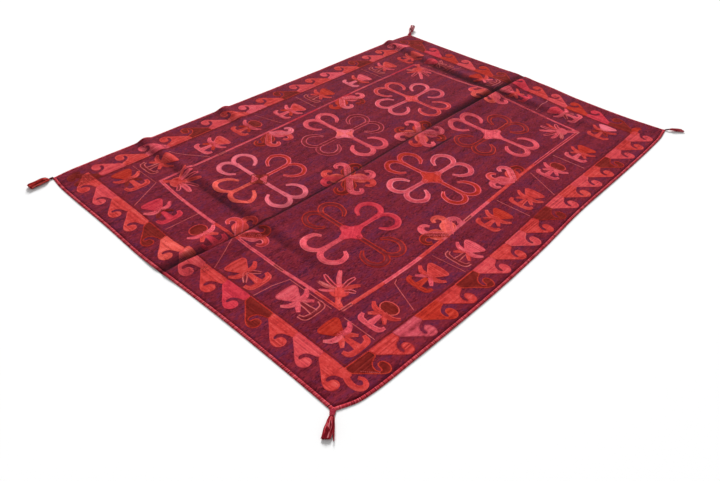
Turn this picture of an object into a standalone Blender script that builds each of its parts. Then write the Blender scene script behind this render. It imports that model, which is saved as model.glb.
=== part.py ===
"""Embroidered flat-woven wool rug with a bound edge and four corner tassels, spread on a floor.

Metres, +Z up. The floor is z = 0, +X runs along the rug and +Y across it, and the origin is the
middle of the rug's box, tassels included, on the floor. The sheet is drawn as its underside,
lifted by the creases it was folded in, and given its thickness upwards.
"""

import math
from collections import namedtuple

import bmesh
import bpy
from mathutils import Vector

# Driving sizes
RUG_LENGTH = 2.40
RUG_WIDTH = 1.70
CLOTH_THICKNESS = 0.003
BINDING_WIDTH = 0.014
BINDING_HEIGHT = 0.005
BINDING_ROUNDING = 0.0013
SHARPEST_ROUNDED = 60  # degrees between two faces from which the binding's edge is rounded
GAP = 0.0003

# Where the corners' rectangle lies from the middle of the box
RUG_CENTRE_X = 0.0017
RUG_CENTRE_Y = 0.0054

# Mesh density
STATION_SPACING = 0.085
CREASE_SHARES = (0.0, 0.33, 0.67, 1.0)
EDGE_REACH = 0.30  # how far into the cloth a side's bulge is taken up
BEND_REACH = 0.25  # how far from the lengthwise fold the mesh lines follow its bend
BEND_EASE = 0.10  # how far from the ends they take it up
TASSEL_SIDES = 14

# Outline. Each row of bulge: share of the side from its first corner, distance outwards.
Side = namedtuple("Side", "first last outward bulge")
SIDES = {
    "far": Side("far_left", "far_right", (0, 1), (
        (0.00, 0.000), (0.04, 0.009), (0.30, 0.010), (0.62, 0.009), (0.80, 0.013),
        (0.95, 0.012), (1.00, 0.000))),
    "near": Side("near_left", "near_right", (0, -1), (
        (0.00, 0.000), (0.04, 0.035), (0.13, 0.048), (0.31, 0.057), (0.46, 0.051),
        (0.60, 0.033), (0.80, 0.029), (0.95, 0.018), (1.00, 0.000))),
    "left": Side("far_left", "near_left", (-1, 0), (
        (0.00, 0.000), (0.06, 0.011), (0.26, 0.012), (0.43, 0.018), (0.58, 0.006),
        (0.72, -0.001), (0.90, -0.002), (1.00, 0.000))),
    "right": Side("far_right", "near_right", (1, 0), (
        (0.00, 0.000), (0.12, -0.003), (0.30, 0.000), (0.48, 0.008), (0.60, 0.003),
        (0.71, -0.016), (0.88, -0.019), (0.97, -0.006), (1.00, 0.000))),
}

# Lips that the folds left. A lip starts at its foot and rises and falls across the line it runs
# along; towards is the way it goes from its foot. Each row of heights: share of the line from
# start to end, height. Each row of bend: share, how far the foot strays from its line. Feet,
# starts and ends are measured from the middle of the rectangle.
STRAIGHT = ((0.0, 0.0), (1.0, 0.0))
FOLD_BEND = (
    (0.00, 0.014), (0.04, 0.011), (0.073, 0.001), (0.137, -0.006), (0.194, -0.011), (0.30, -0.015),
    (0.38, -0.014), (0.43, -0.009), (0.51, -0.001), (0.62, 0.005), (0.78, 0.003), (1.00, -0.002))
Lip = namedtuple(
    "Lip", "runs foot towards rise fall start end heights bend", defaults=(STRAIGHT,))
LIPS = (
    # The lengthwise fold: a steep lip on the near side of the crease, a slow one on the far side
    Lip("x", -0.002, -1, 0.016, 0.083, -1.24, 1.24, (
        (0.00, 0.002), (0.016, 0.003), (0.055, 0.012), (0.10, 0.011), (0.17, 0.006), (0.52, 0.006),
        (0.68, 0.009), (0.84, 0.012), (0.94, 0.011), (0.984, 0.003), (1.00, 0.002)), FOLD_BEND),
    Lip("x", -0.002, 1, 0.044, 0.110, -1.24, 1.24, (
        (0.00, 0.002), (0.016, 0.003), (0.06, 0.009), (0.11, 0.007), (0.18, 0.003), (0.60, 0.003),
        (0.74, 0.008), (0.84, 0.009), (0.92, 0.006), (0.984, 0.003), (1.00, 0.002)), FOLD_BEND),
    # A short pleat beside it
    Lip("x", -0.134, -1, 0.016, 0.050, 0.13, 0.38, (
        (0.00, 0.000), (0.30, 0.005), (0.70, 0.006), (1.00, 0.000))),
    # The crosswise folds, highest at the far side
    Lip("y", -0.795, 1, 0.048, 0.045, 0.87, -0.62, (
        (0.00, 0.012), (0.06, 0.010), (0.20, 0.008), (0.55, 0.008), (0.80, 0.004),
        (1.00, 0.000))),
    Lip("y", -0.345, 1, 0.060, 0.042, 0.87, 0.48, (
        (0.00, 0.012), (0.35, 0.006), (1.00, 0.000))),
    Lip("y", 0.915, 1, 0.050, 0.055, 0.87, -0.82, (
        (0.00, 0.012), (0.10, 0.009), (0.60, 0.009), (0.85, 0.004), (1.00, 0.000)),
        ((0.00, 0.033), (0.10, 0.030), (0.28, 0.000), (1.00, 0.000))),
)

# Tassels, lying on the floor. The heading is in degrees from +X. The tip is where the neck starts
# along it, from the rectangle's corner. Halves are half sizes, the skirt's at its cut end.
Tassel = namedtuple("Tassel", "heading tip neck_length neck_half skirt_length half_width half_height")
TASSELS = {
    "far_left": Tassel(183.0, 0.0005, 0.020, 0.0032, 0.082, 0.0165, 0.0095),
    "near_left": Tassel(215.7, -0.0005, 0.018, 0.0070, 0.075, 0.0165, 0.0080),
    "near_right": Tassel(312.5, -0.0005, 0.023, 0.0035, 0.066, 0.0150, 0.0080),
    "far_right": Tassel(28.8, -0.0004, 0.020, 0.0060, 0.086, 0.0160, 0.0110),
}
# Each row: share of the length, share of the largest half width, share of the largest half height
NECK_SECTIONS = ((0.0, 0.35, 0.60), (0.30, 0.85, 0.95), (0.65, 1.00, 1.00), (1.0, 0.90, 0.95))
SKIRT_SECTIONS = (
    (0.0, 0.34, 0.50), (0.07, 0.62, 0.82), (0.20, 0.78, 0.97), (0.50, 0.88, 1.00),
    (0.80, 0.97, 0.96), (1.0, 1.00, 0.80))
NECK_HALF_HEIGHT = 0.0030

# Finishes: base colour, roughness
PLUM = ((0.155, 0.017, 0.040), 0.95)
CORAL = ((0.560, 0.060, 0.060), 0.90)
BRICK = ((0.330, 0.030, 0.025), 0.90)


def remove_default_objects():
    """Empties the scene."""
    for item in list(bpy.data.objects):
        bpy.data.objects.remove(item, do_unlink=True)


def read_table(table, share):
    """The second column of a table at a share between its first column's values, smoothly."""
    places = [row[0] for row in table]
    values = [row[1] for row in table]
    share = min(max(share, places[0]), places[-1])
    index = max(i for i in range(len(places) - 1) if places[i] <= share)

    def slope(i):
        low, high = max(i - 1, 0), min(i + 1, len(places) - 1)
        return (values[high] - values[low]) / (places[high] - places[low])

    span = places[index + 1] - places[index]
    part = (share - places[index]) / span
    start, end = values[index], values[index + 1]
    return (
        (1 + 2 * part) * (1 - part) ** 2 * start
        + part * (1 - part) ** 2 * span * slope(index)
        + part ** 2 * (3 - 2 * part) * end
        + part ** 2 * (part - 1) * span * slope(index + 1)
    )


def lip_height(lip, x, y):
    """How high one lip stands at a place measured from the middle of the rectangle."""
    along, across = (x, y) if lip.runs == "x" else (y, x)
    share = (along - lip.start) / (lip.end - lip.start)
    distance = (across - lip.foot - read_table(lip.bend, share)) * lip.towards
    if not 0 <= share <= 1 or not 0 < distance < lip.rise + lip.fall:
        return 0.0
    if distance < lip.rise:
        profile = math.sin(math.pi / 2 * distance / lip.rise) ** 2
    else:
        profile = math.cos(math.pi / 2 * (distance - lip.rise) / lip.fall) ** 2
    return max(read_table(lip.heights, share), 0.0) * profile


def relief(x, y):
    """Height of the underside over the floor: the tallest lip at the place, or 0."""
    return max(lip_height(lip, x, y) for lip in LIPS)


def corner(name, inset):
    """A corner of the rectangle, moved in along both sides."""
    x = RUG_LENGTH / 2 - inset
    y = RUG_WIDTH / 2 - inset
    return (-x if "left" in name else x), (y if "far" in name else -y)


def side_point(name, share, inset):
    """A point along one side of the outline, moved in from the outer edge."""
    side = SIDES[name]
    first, last = Vector(corner(side.first, inset)), Vector(corner(side.last, inset))
    return first.lerp(last, share) + Vector(side.outward) * read_table(side.bulge, share)


def cloth_point(across_share, along_share):
    """A point of the cloth: the rectangle with each side's bulge taken up near that side."""
    inset = BINDING_WIDTH + GAP
    left, top = corner("far_left", inset)
    right, bottom = corner("near_right", inset)
    point = Vector((left + (right - left) * along_share, top + (bottom - top) * across_share))
    reach = (
        ("far", along_share, top - point.y),
        ("near", along_share, point.y - bottom),
        ("left", across_share, point.x - left),
        ("right", across_share, right - point.x),
    )
    moved = point.copy()
    for name, share, distance in reach:
        weight = max(1 - distance / EDGE_REACH, 0) ** 2
        moved += Vector(SIDES[name].outward) * read_table(SIDES[name].bulge, share) * weight
    fold = LIPS[0]
    weight = min(max(1.2 - abs(moved.y - fold.foot) / BEND_REACH, 0), 1)
    weight *= min(max(RUG_LENGTH / 2 - abs(moved.x), 0) / BEND_EASE, 1)
    moved.y += read_table(fold.bend, (moved.x - fold.start) / (fold.end - fold.start)) * weight
    return moved


def stations(runs, length):
    """Shares of a length that fall on the creases across it, filled up to an even spacing."""
    wanted = {-length / 2, length / 2}
    for lip in LIPS:
        if lip.runs != runs:
            for share in CREASE_SHARES:
                wanted.add(lip.foot + lip.towards * lip.rise * share)
                wanted.add(lip.foot + lip.towards * (lip.rise + lip.fall * share))
    wanted = sorted(wanted)
    places = [wanted[0]]
    for start, end in zip(wanted, wanted[1:]):
        steps = max(math.ceil((end - start) / STATION_SPACING), 1)
        places += [start + (end - start) * (i + 1) / steps for i in range(steps)]
    return [place / length + 0.5 for place in places]


ALONG = stations("x", RUG_LENGTH)
ACROSS = [1 - share for share in reversed(stations("y", RUG_WIDTH))]


def make_material(name, finish):
    """A plain material of one colour."""
    colour, roughness = finish
    material = bpy.data.materials.new(name)
    material.use_nodes = True
    shader = material.node_tree.nodes["Principled BSDF"]
    shader.inputs["Base Color"].default_value = (*colour, 1)
    shader.inputs["Roughness"].default_value = roughness
    shader.inputs["Metallic"].default_value = 0.0
    return material


def add_object(name, shape, finish, collection):
    """Turns a bmesh into an object of the collection, with a material of its own."""
    mesh = bpy.data.meshes.new(name)
    shape.to_mesh(mesh)
    shape.free()
    mesh.materials.append(make_material(name, finish))
    made = bpy.data.objects.new(name, mesh)
    collection.objects.link(made)
    made.location = (RUG_CENTRE_X, RUG_CENTRE_Y, 0)
    return made


def mapped_sheet(columns, rows, place):
    """A grid of columns by rows, each vertex put on the floor by place and lifted by the relief."""
    shape = bmesh.new()
    bmesh.ops.create_grid(shape, x_segments=columns - 1, y_segments=rows - 1, size=1)
    for vertex in shape.verts:
        column = round((vertex.co.x + 1) / 2 * (columns - 1))
        row = round((vertex.co.y + 1) / 2 * (rows - 1))
        x, y = place(column, row)
        vertex.co = (x, y, relief(x, y))
    shape.normal_update()
    if sum(face.normal.z for face in shape.faces) < 0:
        bmesh.ops.reverse_faces(shape, faces=shape.faces)
    return shape


def thicken(made, thickness):
    """Gives a sheet its thickness upwards, away from the floor."""
    solidify = made.modifiers.new("thickness", "SOLIDIFY")
    solidify.thickness = thickness
    solidify.offset = 1


def make_cloth(collection):
    """The woven ground, one sheet inside the binding."""
    shape = mapped_sheet(
        len(ALONG), len(ACROSS), lambda column, row: cloth_point(ACROSS[row], ALONG[column]))
    thicken(add_object("cloth", shape, PLUM, collection), CLOTH_THICKNESS)


def make_binding(name, collection):
    """The edging worked over one side, from tassel to tassel, mitred at both ends."""
    shares = list(ALONG if name in ("far", "near") else ACROSS)
    length = RUG_LENGTH if name in ("far", "near") else RUG_WIDTH
    mitre = GAP / math.sqrt(2) / length
    shares[0], shares[-1] = mitre, 1 - mitre
    insets = (0.0, BINDING_WIDTH)
    shape = mapped_sheet(
        len(shares), 2, lambda column, row: side_point(name, shares[column], insets[row]))
    made = add_object(f"binding_{name}", shape, CORAL, collection)
    thicken(made, BINDING_HEIGHT)
    rounding = made.modifiers.new("rounding", "BEVEL")
    rounding.width = BINDING_ROUNDING
    rounding.segments = 1
    rounding.limit_method = "ANGLE"
    rounding.angle_limit = math.radians(SHARPEST_ROUNDED)


def bundle(start, heading, length, half_width, half_height, sections):
    """A closed bundle of yarn lying on the floor: rings extruded along its heading."""
    forward = Vector((math.cos(heading), math.sin(heading), 0))
    sideways = Vector((-forward.y, forward.x, 0))
    shape = bmesh.new()
    ring = bmesh.ops.create_circle(shape, cap_ends=True, segments=TASSEL_SIDES, radius=1)["verts"]
    angles = [math.atan2(vertex.co.y, vertex.co.x) for vertex in ring]
    edges = [edge for edge in shape.edges]
    for number, (share, width, height) in enumerate(sections):
        if number:
            grown = bmesh.ops.extrude_edge_only(shape, edges=edges)["geom"]
            edges = [item for item in grown if isinstance(item, bmesh.types.BMEdge)]
            fresh = {item for item in grown if isinstance(item, bmesh.types.BMVert)}
            ring = [next(edge.other_vert(old) for edge in old.link_edges
                         if edge.other_vert(old) in fresh) for old in ring]
        centre = start + forward * length * share + Vector((0, 0, half_height * height))
        for vertex, angle in zip(ring, angles):
            vertex.co = (centre + sideways * half_width * width * math.cos(angle)
                         + Vector((0, 0, half_height * height * math.sin(angle))))
    bmesh.ops.contextual_create(shape, geom=edges)
    bmesh.ops.recalc_face_normals(shape, faces=shape.faces)
    return shape


def make_tassel(name, collection):
    """A tassel at one corner: the neck that ties it on, and its skirt of cut yarn."""
    tassel = TASSELS[name]
    heading = math.radians(tassel.heading)
    forward = Vector((math.cos(heading), math.sin(heading), 0))
    start = Vector((*corner(name, 0), 0)) + forward * tassel.tip
    neck = bundle(start, heading, tassel.neck_length, tassel.neck_half, NECK_HALF_HEIGHT, NECK_SECTIONS)
    add_object(f"tassel_neck_{name}", neck, BRICK, collection)
    start += forward * (tassel.neck_length + GAP)
    skirt = bundle(start, heading, tassel.skirt_length, tassel.half_width, tassel.half_height,
                   SKIRT_SECTIONS)
    add_object(f"tassel_skirt_{name}", skirt, BRICK, collection)


def main():
    """Builds the rug."""
    remove_default_objects()
    collection = bpy.data.collections.new("kilim_rug")
    bpy.context.scene.collection.children.link(collection)
    make_cloth(collection)
    for name in SIDES:
        make_binding(name, collection)
    for name in TASSELS:
        make_tassel(name, collection)


main()
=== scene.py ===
"""Looks of an embroidered flat-woven wool rug: plum ground, chain-stitched horns and running dogs.

Metres, +Z up. The design is drawn on the rug's own floor plan: x runs along the rug and y across
it, both from the middle of its four corners, with far at +y. ClothForm puts a plan point on the
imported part, lifted by the creases of the cloth.
"""

import logging
import math
from dataclasses import dataclass, field
from enum import Enum
from itertools import cycle
from typing import Callable, Iterable, Optional, Protocol, Sequence

import bmesh
import bpy
import numpy as np
from mathutils import Matrix, Vector


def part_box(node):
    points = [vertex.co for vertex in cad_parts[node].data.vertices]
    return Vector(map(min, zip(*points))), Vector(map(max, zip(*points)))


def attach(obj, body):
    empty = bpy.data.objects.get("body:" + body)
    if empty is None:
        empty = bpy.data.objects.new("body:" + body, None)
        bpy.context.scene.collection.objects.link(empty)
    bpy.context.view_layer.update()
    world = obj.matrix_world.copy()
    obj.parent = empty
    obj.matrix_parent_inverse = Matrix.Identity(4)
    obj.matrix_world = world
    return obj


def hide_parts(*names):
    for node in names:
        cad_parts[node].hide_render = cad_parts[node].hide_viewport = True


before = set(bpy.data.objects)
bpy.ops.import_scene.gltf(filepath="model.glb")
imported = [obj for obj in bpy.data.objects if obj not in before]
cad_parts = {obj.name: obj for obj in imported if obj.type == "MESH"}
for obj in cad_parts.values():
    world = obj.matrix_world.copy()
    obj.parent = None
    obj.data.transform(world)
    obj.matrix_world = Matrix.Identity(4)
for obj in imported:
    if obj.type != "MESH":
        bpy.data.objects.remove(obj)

LOG = logging.getLogger("kilim_rug")
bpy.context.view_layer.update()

RUG_LENGTH = 2.40
RUG_WIDTH = 1.70
BINDING_WIDTH = 0.014
BINDING_HEIGHT = 0.005
SHEET_THICKNESS = 0.0022
SHEET_LIFT = 0.0002
STITCH_LENGTH = 0.0066
ROW_WIDTH = 0.0046
STITCH_HEIGHT = 0.0017
# How far a shape that is worked over another lies above it.
LIFT_STEP = 0.00025
# The spacing of the points that a line or an outline is worked through.
POINT_SPACING = 0.004

Points = np.ndarray
Placer = Callable[[Points], Points]
Pair = tuple[float, float]
Triple = tuple[float, float, float]
Colour = tuple[float, float, float, float]
Table = tuple[Pair, ...]
Course = tuple[Pair, ...]
Socket = bpy.types.NodeSocket


# ---------------------------------------------------------------- finishes

# Painted shade in the folds: this near-black is mixed into the base colour of the ground, the stitches and
# the binding, up to the strength below, where the cloth lies in a fold's shade.
PAINTED_SHADE_COLOUR: Colour = (0.006, 0.001, 0.003, 1)
PAINTED_SHADE_STRENGTH = 0.90
# The wave texture's scale whose bands lie 1 m apart.
WAVE_SCALE = 0.314


def srgb(code: str) -> Colour:
    """Reads a six-digit web colour.

    Args:
        code: the colour, with its leading hash.

    Returns:
        Linear red, green, blue and alpha.
    """
    parts = [int(code[i:i + 2], 16) / 255 for i in (1, 3, 5)]
    linear = [part / 12.92 if part <= 0.04045 else ((part + 0.055) / 1.055) ** 2.4 for part in parts]
    return (*linear, 1.0)


class NodeMaterial:
    """A material in the making, with its nodes and its shader."""

    def __init__(self, name: str, roughness: float) -> None:
        """Starts the material.

        Args:
            name: what it is called.
            roughness: how matt it is, from 0 to 1.
        """
        self.material = bpy.data.materials.new(name)
        self.material.use_nodes = True
        self.tree = self.material.node_tree
        self.shader = self.tree.nodes["Principled BSDF"]
        self.shader.inputs["Roughness"].default_value = roughness

    def node(self, kind: str, inputs: dict, **settings: object) -> bpy.types.Node:
        """Adds a node.

        Args:
            kind: its type, without the prefix that all of them share.
            inputs: the value or the socket for each input, by name or number.
            settings: its other properties.

        Returns:
            The new node.
        """
        made = self.tree.nodes.new("ShaderNode" + kind)
        for name, value in settings.items():
            setattr(made, name, value)
        for key, value in inputs.items():
            if isinstance(value, Socket):
                self.tree.links.new(value, made.inputs[key])
            else:
                made.inputs[key].default_value = value
        return made

    def place(self) -> Socket:
        """The Object coordinates."""
        return self.node("TexCoord", {}).outputs["Object"]

    def attribute(self, name: str) -> Socket:
        """An attribute of the mesh."""
        return self.node("Attribute", {}, attribute_name=name).outputs["Fac"]

    def noise(self, place: Socket, scale: float, detail: float) -> Socket:
        """A noise at some coordinates."""
        return self.node("TexNoise", {"Vector": place, "Scale": scale, "Detail": detail}).outputs["Fac"]

    def math(self, operation: str, *values: object) -> Socket:
        """The result of a sum on values and sockets."""
        return self.node("Math", dict(enumerate(values)), operation=operation).outputs[0]

    def mix(self, under: object, over: Colour, share: Socket) -> Socket:
        """A colour laid over another by a share."""
        mixed = self.node("Mix", {"Factor": share, "A": under, "B": over}, data_type="RGBA")
        return mixed.outputs["Result"]

    def wool(self, gloss: float, colour: Socket, relief: Socket,
             strength: float, depth: float) -> bpy.types.Material:
        """Dresses the shader as wool, with painted shade: its base colour darkened where the cloth lies in a
        fold's shade.

        Args:
            gloss: the specular level.
            colour: the colour in the open.
            relief: the pattern that raises the surface.
            strength: how strongly it does so.
            depth: how deep it is.

        Returns:
            The finished material.
        """
        self.shader.inputs["Specular IOR Level"].default_value = gloss
        # Painted shade: the fold's share darkens the base colour towards near-black.
        share = self.math("MULTIPLY", self.attribute("painted_crease_shade"), PAINTED_SHADE_STRENGTH)
        shaded = self.mix(colour, PAINTED_SHADE_COLOUR, share)
        self.tree.links.new(shaded, self.shader.inputs["Base Color"])
        bump = self.node("Bump", {"Strength": strength, "Distance": depth, "Height": relief})
        self.tree.links.new(bump.outputs["Normal"], self.shader.inputs["Normal"])
        return self.material


@dataclass(frozen=True)
class YarnFinish:
    """A dyed wool yarn: its colour where it lies in shade, its middle tone and its light one.

    The ends say at which tones the dark and the light one are reached, the uneven values how much
    the dye's noise adds and how far that lies from the middle.
    """

    name: str
    dark: str
    middle: str
    light: str
    ends: Pair = (0.12, 0.88)
    uneven: Pair = (0.55, 0.27)
    dye_scale: float = 38.0
    fibre_scale: float = 1400.0
    fibre_bump: float = 0.5
    fibre_depth: float = 0.0006
    roughness: float = 0.85
    gloss: float = 0.03

    def make(self) -> bpy.types.Material:
        """Makes the material. Each stitch's own shade attribute picks the tone.

        Returns:
            The new material.
        """
        made = NodeMaterial(self.name, self.roughness)
        place = made.place()
        amount, middle = self.uneven
        shade = made.math("SUBTRACT", made.attribute("shade"), middle)
        tone = made.math("MULTIPLY_ADD", made.noise(place, self.dye_scale, 3.0), amount, shade)
        tones = made.node("ValToRGB", {"Fac": tone})
        stops = tones.color_ramp.elements
        for stop, end, code in zip(stops, self.ends, (self.dark, self.light)):
            stop.position, stop.color = end, srgb(code)
        stops.new(0.5).color = srgb(self.middle)
        return made.wool(self.gloss, tones.outputs["Color"], made.noise(place, self.fibre_scale, 2.0),
                         self.fibre_bump, self.fibre_depth)


@dataclass(frozen=True)
class Streaks:
    """Streaks of one dye lot: its colour, its noise's stretch, scale and detail, and its ramp."""

    colour: str
    stretch: Triple
    scale: float
    detail: float
    ramp: Pair


@dataclass(frozen=True)
class WeaveFinish:
    """The weft-faced plain weave of the ground, with the streaks of uneven dye lots.

    The ribs give for each direction its share of the rib spacing and its unevenness.
    """

    name: str
    base: str
    streaks: tuple[Streaks, ...]
    rib_spacing: float = 0.0032
    ribs: tuple[tuple[str, float, float], ...] = (("X", 1.0, 0.6), ("Y", 0.5, 1.2))
    warp_share: float = 0.6
    weave_bump: float = 0.5
    weave_depth: float = 0.0008
    roughness: float = 0.95
    gloss: float = 0.03

    def make(self) -> bpy.types.Material:
        """Makes the material, read on Object coordinates.

        Returns:
            The new material.
        """
        made = NodeMaterial(self.name, self.roughness)
        place = made.place()
        colour = srgb(self.base)
        for lot in self.streaks:
            along = made.node("Mapping", {"Vector": place, "Scale": lot.stretch}).outputs["Vector"]
            low, high = lot.ramp
            share = made.node("MapRange", {
                "Value": made.noise(along, lot.scale, lot.detail), "From Min": low, "From Max": high})
            colour = made.mix(colour, srgb(lot.colour), share.outputs["Result"])
        warp, weft = (
            made.node("TexWave", {
                "Vector": place, "Scale": WAVE_SCALE / (self.rib_spacing * share), "Distortion": uneven,
            }, wave_type="BANDS", bands_direction=direction).outputs["Fac"]
            for direction, share, uneven in self.ribs)
        weave = made.math("MULTIPLY_ADD", warp, self.warp_share, weft)
        return made.wool(self.gloss, colour, weave, self.weave_bump, self.weave_depth)


class Dye(Enum):
    """The yarns of the embroidery, in the order of their material slots."""

    CORAL_RED = YarnFinish("coral red yarn", "#8c181c", "#d4403e", "#f06a64")
    BRIGHT_CORAL = YarnFinish("bright coral yarn", "#9a282a", "#e65850", "#fc8078")
    CORAL_PINK = YarnFinish("coral pink yarn", "#9c283c", "#e65664", "#fa828a")
    LIGHT_PINK = YarnFinish("light pink yarn", "#b04456", "#ee6e7e", "#fa909c")
    DUSTY_PINK = YarnFinish("dusty pink yarn", "#882834", "#d45060", "#ec7c84")
    ORANGE_RED = YarnFinish("orange red yarn", "#7e1616", "#c23226", "#dc4e3c")
    PINK_RED = YarnFinish("pink red yarn", "#90182c", "#d6384a", "#ee5e68")
    BRICK = YarnFinish("dark brick yarn", "#4a1012", "#84221e", "#a0372f")
    SALMON = YarnFinish("outline yarn", "#983036", "#d05a5c", "#ea8686")
    PLUM = YarnFinish("dark plum yarn", "#5a1722", "#84252f", "#9c3a40")
    ROSE_CORAL = YarnFinish("rose coral yarn", "#942834", "#dc4a52", "#f2706e")


LIGHT_LOT, PURPLE_LOT, DARK_LOT = "#902b38", "#672443", "#3e0e1a"
GROUND = WeaveFinish("plum flat weave", "#741d2d", (
    Streaks(LIGHT_LOT, (0.35, 2.2, 1.0), 9.0, 4.0, (0.48, 0.72)),
    Streaks(PURPLE_LOT, (0.5, 1.8, 1.0), 11.0, 4.0, (0.50, 0.71)),
    Streaks(DARK_LOT, (0.4, 2.6, 1.0), 14.0, 5.0, (0.52, 0.80)),
    Streaks(PURPLE_LOT, (0.7, 1.3, 1.0), 60.0, 3.0, (0.51, 0.70)),
    Streaks(LIGHT_LOT, (0.6, 1.4, 1.0), 130.0, 3.0, (0.50, 0.68)),
    Streaks(DARK_LOT, (0.6, 1.6, 1.0), 150.0, 3.0, (0.52, 0.74)),
))
BINDING_YARN = YarnFinish("binding yarn", "#741a28", "#b6323e", "#d8606a")
TASSEL_BRICK = YarnFinish("brick tassel yarn", "#661418", "#c02e2c", "#e4645c")
TASSEL_CRIMSON = YarnFinish("crimson tassel yarn", "#5e0e18", "#a81f2d", "#e8949a")
# Its near-white light tone is the painted light on the far right tassel's lit side, and its brown dark tone
# the painted shade on its other side.
TASSEL_ROSE = YarnFinish("rose tassel yarn", "#4a2a26", "#ba4052", "#ffd8d8")
NECK_DARK = YarnFinish("dark neck yarn", "#34100f", "#641a20", "#8c363a")
NECK_CRIMSON = YarnFinish("crimson neck yarn", "#761a2e", "#b23448", "#cc5a68")


# ---------------------------------------------------------------- the cloth's form


@dataclass(frozen=True)
class Side:
    """A side of the outline: how far it bulges outwards at each share from its first corner."""

    first: str
    last: str
    outward: tuple[int, int]
    bulge: Table
    travels_back: bool = False


SIDES = {
    "far": Side("far_left", "far_right", (0, 1), (
        (0.00, 0.000), (0.04, 0.009), (0.30, 0.010), (0.62, 0.009), (0.80, 0.013),
        (0.95, 0.012), (1.00, 0.000)), travels_back=True),
    "near": Side("near_left", "near_right", (0, -1), (
        (0.00, 0.000), (0.04, 0.035), (0.13, 0.048), (0.31, 0.057), (0.46, 0.051),
        (0.60, 0.033), (0.80, 0.029), (0.95, 0.018), (1.00, 0.000))),
    "left": Side("far_left", "near_left", (-1, 0), (
        (0.00, 0.000), (0.06, 0.011), (0.26, 0.012), (0.43, 0.018), (0.58, 0.006),
        (0.72, -0.001), (0.90, -0.002), (1.00, 0.000))),
    "right": Side("far_right", "near_right", (1, 0), (
        (0.00, 0.000), (0.12, -0.003), (0.30, 0.000), (0.48, 0.008), (0.60, 0.003),
        (0.71, -0.016), (0.88, -0.019), (0.97, -0.006), (1.00, 0.000)), travels_back=True),
}

STRAIGHT: Table = ((0.0, 0.0), (1.0, 0.0))
FOLD_BEND: Table = (
    (0.00, 0.014), (0.04, 0.011), (0.073, 0.001), (0.137, -0.006), (0.194, -0.011), (0.30, -0.015),
    (0.38, -0.014), (0.43, -0.009), (0.51, -0.001), (0.62, 0.005), (0.78, 0.003), (1.00, -0.002))


@dataclass(frozen=True)
class Lip:
    """A lip that a fold left: it rises and falls across the line it runs along.

    The bend is how far its foot strays from the line, and the last table how strongly its rise is darkened
    by painted shade.
    """

    runs: str
    foot: float
    towards: int
    rise: float
    fall: float
    start: float
    end: float
    heights: Table
    bend: Table = STRAIGHT
    painted_shade: Table = STRAIGHT

    def across(self, plan: Points) -> tuple[Points, Points]:
        """Measures plan points from the lip.

        Args:
            plan: the points.

        Returns:
            Their shares along the lip and their distances from its foot.
        """
        along, across = (plan[:, 0], plan[:, 1]) if self.runs == "x" else (plan[:, 1], plan[:, 0])
        share = (along - self.start) / (self.end - self.start)
        return share, (across - self.foot - read_table(self.bend, share)) * self.towards


# Each lip's last table says how strongly painted shade darkens its rise, along the lip.
LIPS = (
    Lip("x", -0.002, -1, 0.016, 0.083, -1.24, 1.24, (
        (0.00, 0.002), (0.016, 0.003), (0.055, 0.012), (0.10, 0.011), (0.17, 0.006), (0.52, 0.006),
        (0.68, 0.009), (0.84, 0.012), (0.94, 0.011), (0.984, 0.003), (1.00, 0.002)), FOLD_BEND,
        ((0.00, 0.6), (0.02, 1.0), (0.10, 1.0), (0.80, 1.0), (0.96, 1.0), (1.00, 0.6))),
    Lip("x", -0.002, 1, 0.044, 0.110, -1.24, 1.24, (
        (0.00, 0.002), (0.016, 0.003), (0.06, 0.009), (0.11, 0.007), (0.18, 0.003), (0.60, 0.003),
        (0.74, 0.008), (0.84, 0.009), (0.92, 0.006), (0.984, 0.003), (1.00, 0.002)), FOLD_BEND,
        ((0.00, 0.75), (0.06, 1.0), (0.11, 0.6), (0.20, 0.35), (0.55, 0.35), (0.64, 0.7), (0.76, 1.0),
         (0.92, 1.0), (1.00, 0.5))),
    Lip("x", -0.134, -1, 0.016, 0.050, 0.13, 0.38, (
        (0.00, 0.000), (0.30, 0.005), (0.70, 0.006), (1.00, 0.000)), STRAIGHT,
        ((0.00, 0.0), (0.20, 0.9), (0.75, 0.9), (1.00, 0.0))),
    Lip("y", -0.795, 1, 0.048, 0.045, 0.87, -0.62, (
        (0.00, 0.012), (0.06, 0.010), (0.20, 0.008), (0.55, 0.008), (0.80, 0.004),
        (1.00, 0.000)), STRAIGHT, ((0.00, 0.5), (0.20, 0.5), (0.55, 0.6), (0.80, 0.3), (1.00, 0.0))),
    Lip("y", -0.345, 1, 0.060, 0.042, 0.87, 0.48, (
        (0.00, 0.012), (0.35, 0.006), (1.00, 0.000)), STRAIGHT, ((0.00, 0.5), (0.50, 0.3), (1.00, 0.0))),
    Lip("y", 0.915, 1, 0.050, 0.055, 0.87, -0.82, (
        (0.00, 0.012), (0.10, 0.009), (0.60, 0.009), (0.85, 0.004), (1.00, 0.000)),
        ((0.00, 0.033), (0.10, 0.030), (0.28, 0.000), (1.00, 0.000)),
        ((0.00, 0.3), (0.25, 0.7), (0.50, 1.0), (0.66, 0.4), (1.00, 0.0))),
)


def read_table(table: Table, shares: Points) -> Points:
    """Reads a table smoothly, as the part does.

    Args:
        table: rows of share and value.
        shares: where to read it.

    Returns:
        The values there, on a cubic through the rows.
    """
    places, values = np.array(table).T
    last = len(places) - 1
    low, high = np.maximum(np.arange(last + 1) - 1, 0), np.minimum(np.arange(last + 1) + 1, last)
    slopes = (values[high] - values[low]) / (places[high] - places[low])
    shares = np.clip(shares, places[0], places[-1])
    index = np.clip(np.searchsorted(places, shares, side="right") - 1, 0, last - 1)
    span = places[index + 1] - places[index]
    part = (shares - places[index]) / span
    return (
        (1 + 2 * part) * (1 - part) ** 2 * values[index]
        + part * (1 - part) ** 2 * span * slopes[index]
        + part ** 2 * (3 - 2 * part) * values[index + 1]
        + part ** 2 * (part - 1) * span * slopes[index + 1]
    )


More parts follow.
